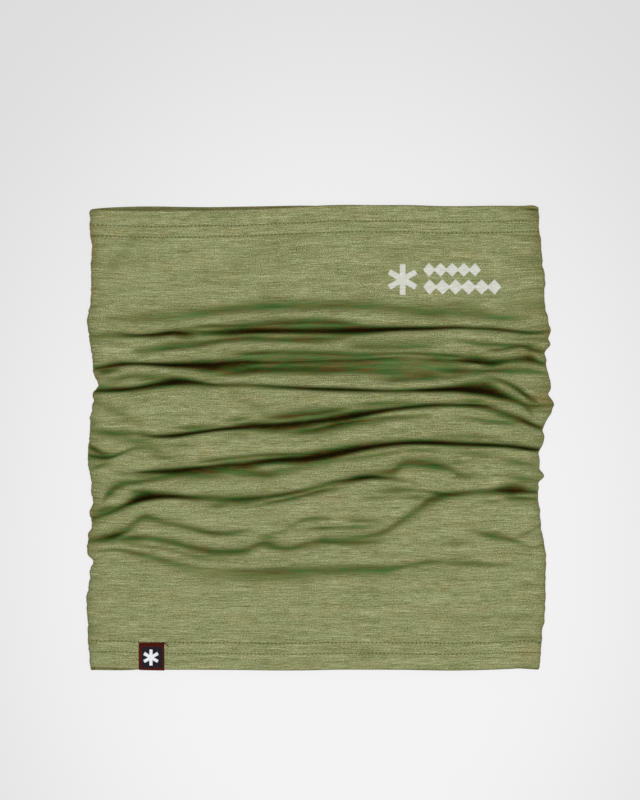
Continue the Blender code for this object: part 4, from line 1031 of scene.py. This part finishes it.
def needle_holes(m, base, hem_rows):
    """Paint shade into the cloth at each needle hole and a little along the needle rows, where
    they draw the cloth in.
    """
    u, v = m.cloth_mm()
    jitter = m.math("MULTIPLY_ADD", m.noise(m.cloth_uv(2.5, 30), 1.0, 0.5, 7.0), 0.9, -0.45)
    # a whole number of stitches is added, so that PINGPONG sees no negative U
    along = m.math("PINGPONG", m.math("ADD", u, 100 * PITCH), PITCH / 2)
    holes = 0.0
    for row in hem_rows:
        across = m.math("SUBTRACT", m.math("ADD", v, jitter), row)
        away = m.math("SQRT", m.math("ADD", m.math("MULTIPLY", along, along),
                                     m.math("MULTIPLY", across, across)))
        holes = m.math("MAXIMUM", holes, m.ramp(away, 0.62, 0.2))
        line = m.ramp(m.math("ABSOLUTE", across), 0.7, 0.1, 0.0, 0.14)
        holes = m.math("MAXIMUM", holes, line)
    # painted shade of the holes and rows, a dark olive
    return m.mix(m.math("MULTIPLY", holes, 0.8), base, HOLE_SHADE)


def jersey(name, hem_rows):
    """Olive heathered jersey: streaky courses of lighter and darker fibre, fine and grainy."""
    m = Nodes(name)
    long_streak = m.noise(m.cloth_uv(17, 0.62), 2.0, 0.6, 1.0)
    short_streak = m.noise(m.cloth_uv(5.5, 0.5), 1.0, 0.6, 2.0)
    grain = m.noise(m.cloth_uv(0.7, 0.5), 1.0, 0.7, 4.0)
    band = m.noise(m.cloth_uv(42, 3.5), 1.0, 0.5, 3.0)
    hue = m.noise(m.cloth_uv(18, 8), 2.0, 0.6, 5.0)
    tone = 0.5
    for layer, weight in ((long_streak, 0.95), (short_streak, 0.8), (grain, 1.75), (band, 0.4)):
        tone = m.math("ADD", tone, m.math("MULTIPLY_ADD", layer, weight, -weight / 2))
    base = m.colours(tone, OLIVES)
    base = m.tint(m.ramp(hue, 0.36, 0.52, 0.5, 0.0), base, COOL)
    base = m.tint(m.ramp(hue, 0.52, 0.68, 0.0, 0.5), base, WARMER)

    attribute = m.node("ShaderNodeAttribute", attribute_name="look").outputs["Color"]
    look = m.split("ShaderNodeSeparateColor", attribute)
    # shade painted in by crease depth, then the warm patches and the rim
    base = paint_crease_shade(m, base, look, short_streak, grain)
    base = needle_holes(m, base, hem_rows)
    knit = m.math("ADD", m.math("MULTIPLY", short_streak, 0.5), m.math("MULTIPLY", grain, 0.5))
    return m.finish(base, 1.0, 0.04, m.bump(knit, 0.3, 0.5))


def yarn(name, colour, darker=0.5):
    """Twisted sewing thread."""
    m = Nodes(name)
    twist = m.noise(m.piece_coords((2200, 2200, 2200)), 1.0)
    dark = (*(c * darker for c in colour[:3]), 1.0)
    tone = m.ramp(twist, 0.3, 0.7, 0.0, 0.45)
    return m.finish(m.mix(tone, colour, dark), 0.9, 0.08, m.bump(twist, 0.08, 0.5))


def woven_label():
    """Satin-woven tag: near-black field in a maroon border with fine cross ribs."""
    m = Nodes("woven_label")
    u, v = m.cloth_mm()
    fray = m.math("MULTIPLY_ADD", m.noise(m.cloth_uv(0.9, 0.5), 1.0, 0.5, 1.0), 0.7, -0.35)
    left, right, top, bottom = LABEL_BORDER
    inside = 1.0
    for value, low, high in ((u, left, LABEL_WIDTH - right), (v, top, LABEL_DROP - bottom)):
        frayed = m.math("ADD", value, fray)
        inside = m.math("MULTIPLY", inside, m.ramp(frayed, low - 0.15, low + 0.15))
        inside = m.math("MULTIPLY", inside, m.ramp(frayed, high + 0.15, high - 0.15))
    rib = m.ramp(m.math("PINGPONG", v, RIB), 0.0, RIB)
    warp = m.ramp(m.math("PINGPONG", u, WARP), 0.0, WARP)
    fibre = m.ramp(m.noise(m.cloth_uv(1.6, 0.3), 2.0, 0.6, 2.0), 0.35, 0.65)
    edge = m.mix(fibre, srgb(56, 10, 3), srgb(90, 26, 9))
    field = m.mix(fibre, srgb(20, 18, 26), srgb(38, 35, 44))
    glint = m.math("MULTIPLY", m.math("MULTIPLY", rib, warp), 0.12)
    colour = m.mix(glint, m.mix(inside, edge, field), srgb(84, 46, 34))
    height = m.math("ADD", rib, m.math("MULTIPLY", warp, 0.6))
    return m.finish(colour, 0.8, 0.1, m.bump(height, 0.12, 0.7))


def plastisol():
    """Pale print that lets the knit show through a little."""
    m = Nodes("print_film")
    knit = m.noise(m.piece_coords((260, 1500, 1)), 3.0)
    colour = m.mix(m.ramp(knit, 0.35, 0.7), srgb(189, 190, 177), srgb(209, 210, 200))
    return m.finish(colour, 0.6, 0.3, m.bump(knit, 0.12, 0.5))


def white_weave():
    """The white threads of the mark that is woven into the label."""
    m = Nodes("white_weave")
    weave = m.noise(m.piece_coords((2600, 2600, 2600)))
    colour = m.mix(m.ramp(weave, 0.3, 0.7), srgb(214, 216, 220), srgb(232, 233, 235))
    return m.finish(colour, 0.8, 0.1, m.bump(weave, 0.1, 0.6))


# ---------------------------------------------------------------- stitches

def needle_row(name, end, number):
    """The dashes of one needle thread, on the front and on the back."""
    arc = np.array([-0.16, 0.02, 0.08, 0.02, -0.16]) + CLOTH / 2
    paths = []
    for panel in (FRONT, BACK):
        u = panel.u[0]
        first, last = int(math.ceil(u[0] / PITCH)), int(math.floor(u[-1] / PITCH))
        spots = np.array([np.linspace(k * PITCH + STITCH_GAP, (k + 1) * PITCH - STITCH_GAP, 5)
                          for k in range(first, last)])
        if panel is FRONT and end == "bottom":
            beside = (spots[:, 4] <= LABEL_X0 - 0.3) | (spots[:, 0] >= LABEL_X1 + 0.3)
            spots = spots[beside]
        path, away = panel.course(panel.row_at(end, number), spots)
        paths.extend(path + away * arc[:, None])
    return threads(name, paths, NEEDLE_R)


def looper_row(name, end):
    """The looper thread that zigzags between the needle rows, inside the tube."""
    paths = []
    for panel in (FRONT, BACK):
        spots = np.arange(panel.u[0][4], panel.u[0][-5], PITCH / 2)
        outer, away = panel.course(panel.row_at(end, 0), spots)
        inner, _ = panel.course(panel.row_at(end, 1), spots)
        even = (np.arange(len(spots)) % 2 == 0)[:, None]
        path = np.where(even, outer, inner)
        paths.append(path - away * (2 * FOLD_R + CLOTH / 2 + LOOPER_R))
    return threads(name, paths, LOOPER_R)


def overlock(name, side):
    """Overlock loops that bind the two raw edges of the seam allowances."""
    column = 0 if side < 0 else -1
    front_edge, back_edge = FRONT.points[:, column], BACK.points[:, column]
    corners = []
    for k, y in enumerate(np.arange(OVERLOCK_END, -OVERLOCK_END, -PITCH / 4)):
        x, high = (np.interp(-y, -front_edge[:, 1], front_edge[:, c]) for c in (0, 2))
        low = np.interp(-y, -back_edge[:, 1], back_edge[:, 2])
        raw = x - side * (SEAM_IN + 0.35)
        reach = x - side * (SEAM_IN - 3.0)
        corners.append([(reach, y, high), (raw, y, high), (raw, y, low), (reach, y, low)][k % 4])
    return threads(name, [corners], OVERLOCK_R)


# ---------------------------------------------------------------- label and prints

def label_strip():
    """The label's cloth: down the front, round the hem's fold and up inside the tube."""
    xs = np.linspace(LABEL_X0, LABEL_X1, LABEL_COLUMNS)
    edge_y = curve(FRONT_BOTTOM, xs) - OUT["bottom"] + FOLD_R + CLOTH / 2 + 0.05
    uneven = 0.10 * np.sin(xs * 1.9 + 1.0)
    grid, vs = [], []
    for share in np.linspace(0, 1, LABEL_ROWS):
        y = LABEL_TOP + (edge_y - LABEL_TOP) * share + uneven * (1 - share)
        z = [FRONT.above(x, max(b, e + 0.1), 0)[2] + LABEL_LIFT for x, b, e in zip(xs, y, edge_y)]
        grid.append(np.stack([xs, y, z], axis=1))
        vs.append(LABEL_TOP - y)
    turn_z, turn_v = grid[-1][:, 2], vs[-1]
    radius = FOLD_R + CLOTH / 2 + LABEL_LIFT
    for degrees in range(15, 181, 15):
        a = math.radians(degrees)
        grid.append(np.stack([xs, edge_y - radius * math.sin(a),
                              turn_z - radius * (1 - math.cos(a))], axis=1))
        vs.append(turn_v + radius * a)
    for inward in np.linspace(1.5, LABEL_INSIDE, 10):
        z = [FRONT.above(x, e + inward, 0)[2] - 2 * radius + LABEL_LIFT
             for x, e in zip(xs, edge_y)]
        grid.append(np.stack([xs, edge_y + inward, z], axis=1))
        vs.append(turn_v + radius * math.pi + inward)
    points = np.stack(grid)
    us = np.broadcast_to(xs - xs[0], points.shape[:2])
    blank = np.zeros(us.shape)
    keep = np.ones((us.shape[0] - 1, us.shape[1] - 1), bool)
    item = grid_mesh("hem_tag", points, us, np.stack(vs), blank, blank, keep)
    return thicken(item, LABEL_THICK)


def label_seam():
    """The thread along the label's top edge, with its loose tail."""
    x = np.linspace(LABEL_X0 + 0.4, LABEL_X1 - 0.1, LABEL_COLUMNS)
    k = np.arange(LABEL_COLUMNS)
    y = LABEL_TOP - 1.25 + 0.12 * np.sin(k * 2.1)
    lift = LABEL_FACE + 0.04 + 0.08 * np.cos(k * math.pi / 2)
    path = [FRONT.above(a, b, c) for a, b, c in zip(x, y, lift)]
    tail = [(0.2, 0.35, 0.9), (0.6, 0.25, 0.6), (1.0, 0.0, 0.35), (1.5, -0.45, 0.24),
            (2.0, -1.0, 0.22), (2.3, -1.5, 0.2), (2.0, -1.7, 0.2)]
    path += [FRONT.above(LABEL_X1 + a, LABEL_TOP - 0.9 + b, c) for a, b, c in tail]
    return threads("hem_tag_thread", [path], LABEL_THREAD_R)


def film(name, centre, outline, step, lift):
    """A thin flat shape laid on the front, cut finely enough to follow it."""
    mesh = bpy.data.meshes.new(name)
    bm = bmesh.new()
    corners = [bm.verts.new((centre[0] + x, centre[1] + y, 0)) for x, y in outline]
    bm.faces.new(corners)
    bmesh.ops.triangulate(bm, faces=bm.faces[:])
    for axis in (0, 1):
        values = [v.co[axis] for v in bm.verts]
        low, high = min(values), max(values)
        for cut in np.arange(low + step / 2, high, step):
            point, normal = [0, 0, 0], [0, 0, 0]
            point[axis], normal[axis] = float(cut), 1.0
            bmesh.ops.bisect_plane(bm, geom=bm.verts[:] + bm.edges[:] + bm.faces[:],
                                   plane_co=point, plane_no=normal, dist=1e-5)
    for vert in bm.verts:
        vert.co = Vector(FRONT.above(vert.co.x, vert.co.y, lift)) * MM
    bmesh.ops.recalc_face_normals(bm, faces=bm.faces[:])
    if sum(f.normal.z for f in bm.faces) < 0:
        bmesh.ops.reverse_faces(bm, faces=bm.faces[:])
    bm.to_mesh(mesh)
    bm.free()
    return thicken(new_item(name, mesh), FILM_THICK)


def star(arm, bar):
    """Three bars crossing at their middles."""
    points = []
    for k in range(6):
        angle, notch = math.radians(90 - 60 * k), math.radians(60 - 60 * k)
        for aside in (bar / 2, -bar / 2):
            points.append((arm * math.cos(angle) - aside * math.sin(angle),
                           arm * math.sin(angle) + aside * math.cos(angle)))
        points.append((bar * math.cos(notch), bar * math.sin(notch)))
    return points


def lozenges(width, height, count):
    """A chain of plain lozenges joined by short necks."""
    pitch = width / count
    upper = [(-width / 2, 0.0)]
    for k in range(count):
        upper.append((-width / 2 + pitch * (k + 0.5), height / 2))
        if k < count - 1:
            upper.append((-width / 2 + pitch * (k + 1), height * NECK))
    upper.append((width / 2, 0.0))
    return upper + [(x, -y) for x, y in reversed(upper[1:-1])]


# ---------------------------------------------------------------- building

def place(item, node, material):
    """Hang a finished piece on the root and let it stand for its CAD node."""
    item.data.materials.append(material)
    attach(item, "root")
    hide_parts(node)
    return item


FRONT = Panel(front_surface(), 1)
BACK = Panel(back_surface(), -1)

for piece_name, node, panel in (("gaiter_front", "front_panel", FRONT),
                                ("gaiter_back", "back_panel", BACK)):
    needle_rows = [panel.row_at(end, k) for end in ("top", "bottom") for k in (0, 1)]
    place(thicken(turned_sheet(piece_name, panel), CLOTH), node, jersey(piece_name, needle_rows))

for end in ("top", "bottom"):
    for number, which in ((0, "outer"), (1, "inner")):
        node = f"{end}_hem_needle_thread_{which}"
        place(needle_row(f"{end}_stitches_{which}", end, number), node, yarn(node, OLIVE_THREAD))
    node = f"{end}_hem_looper_thread"
    place(looper_row(f"{end}_looper", end), node, yarn(node, OLIVE_THREAD))
for side, word in ((-1, "left"), (1, "right")):
    node = f"{word}_seam_thread"
    place(overlock(f"{word}_overlock", side), node, yarn(node, OLIVE_THREAD))

tag = place(label_strip(), "hem_label", woven_label())
mark = film("hem_tag_mark", MARK_CENTRE, star(4.4, 1.7), 1.0, LABEL_FACE + FILM_THICK / 2)
mark.data.materials.append(white_weave())
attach(mark, "root")

PRINT = plastisol()
for node, centre, outline in (
        ("print_emblem", (45.2, 86.6), star(8.5, 3.2)),
        ("print_band_upper", (72.3, 91.9), lozenges(31.8, 7.8, 5)),
        ("print_band_lower", (77.8, 82.5), lozenges(42.8, 8.6, 6))):
    place(film(node + "_film", centre, outline, 1.3, PRINT_LIFT), node, PRINT)

tag_thread = place(label_seam(), "label_stitching", yarn("label_thread", srgb(66, 20, 8)))

# -------------------------------------------------------- floor, light and camera, in metres

CAMERA_Y, CAMERA_HEIGHT = 0.0206, 1.6
CLOTH_HEIGHT = 0.010         # where the view's width is measured
VIEW_WIDTH = 0.3507
SENSOR = 36.0
FLOOR_SIZE, FLOOR_Z = 6.0, -0.0002
GLOW_NEAR, GLOW_FAR = 0.81, 0.64     # the floor's glow close to the gaiter and far from it


def studio_floor():
    """A pale floor that glows a little brighter round the gaiter."""
    bpy.ops.mesh.primitive_plane_add(size=FLOOR_SIZE, location=(0, 0, FLOOR_Z))
    floor = bpy.context.object
    floor.name = "floor"
    m = Nodes("floor")
    around = m.piece_coords((1.35, 1, 1), (-0.012, 0.07, 0))
    away = m.made("ShaderNodeVectorMath", "Value", {0: around}, operation="LENGTH")
    glow = m.ramp(away, 0.115, 0.40, GLOW_NEAR, GLOW_FAR)
    m.feed(m.shader.inputs["Emission Strength"], glow)
    m.shader.inputs["Emission Color"].default_value = (1.0, 1.0, 1.0, 1)
    m.shader.inputs["Base Color"].default_value = (0.08, 0.08, 0.08, 1)
    m.shader.inputs["Roughness"].default_value = 0.9
    m.shader.inputs["Specular IOR Level"].default_value = 0.0
    floor.data.materials.append(m.material)
    return floor


def white_world(strength):
    """Even white light from all round."""
    world = bpy.data.worlds.new("studio")
    bpy.context.scene.world = world
    world.use_nodes = True
    background = world.node_tree.nodes["Background"]
    background.inputs["Color"].default_value = (1.0, 1.0, 1.0, 1)
    background.inputs["Strength"].default_value = strength


def area_light(name, location, size, power):
    """A rectangular lamp that points at the origin."""
    data = bpy.data.lights.new(name, "AREA")
    data.shape = "RECTANGLE"
    data.size, data.size_y = size
    data.energy = power
    lamp = bpy.data.objects.new(name, data)
    lamp.location = location
    lamp.rotation_euler = (-Vector(location)).to_track_quat("-Z", "Y").to_euler()
    bpy.context.scene.collection.objects.link(lamp)


def camera_above():
    """A camera that looks straight down."""
    data = bpy.data.cameras.new("camera")
    camera = bpy.data.objects.new("camera", data)
    camera.location = (0, CAMERA_Y, CAMERA_HEIGHT)
    data.sensor_fit = "HORIZONTAL"
    data.sensor_width = SENSOR
    data.lens = SENSOR * (CAMERA_HEIGHT - CLOTH_HEIGHT) / VIEW_WIDTH
    data.clip_end = 20.0
    bpy.context.scene.collection.objects.link(camera)
    bpy.context.scene.camera = camera


studio_floor()
white_world(0.42)
area_light("key", (0.05, -0.05, 2.0), (1.4, 0.8), 30)
camera_above()
bpy.context.scene.view_settings.view_transform = "Standard"
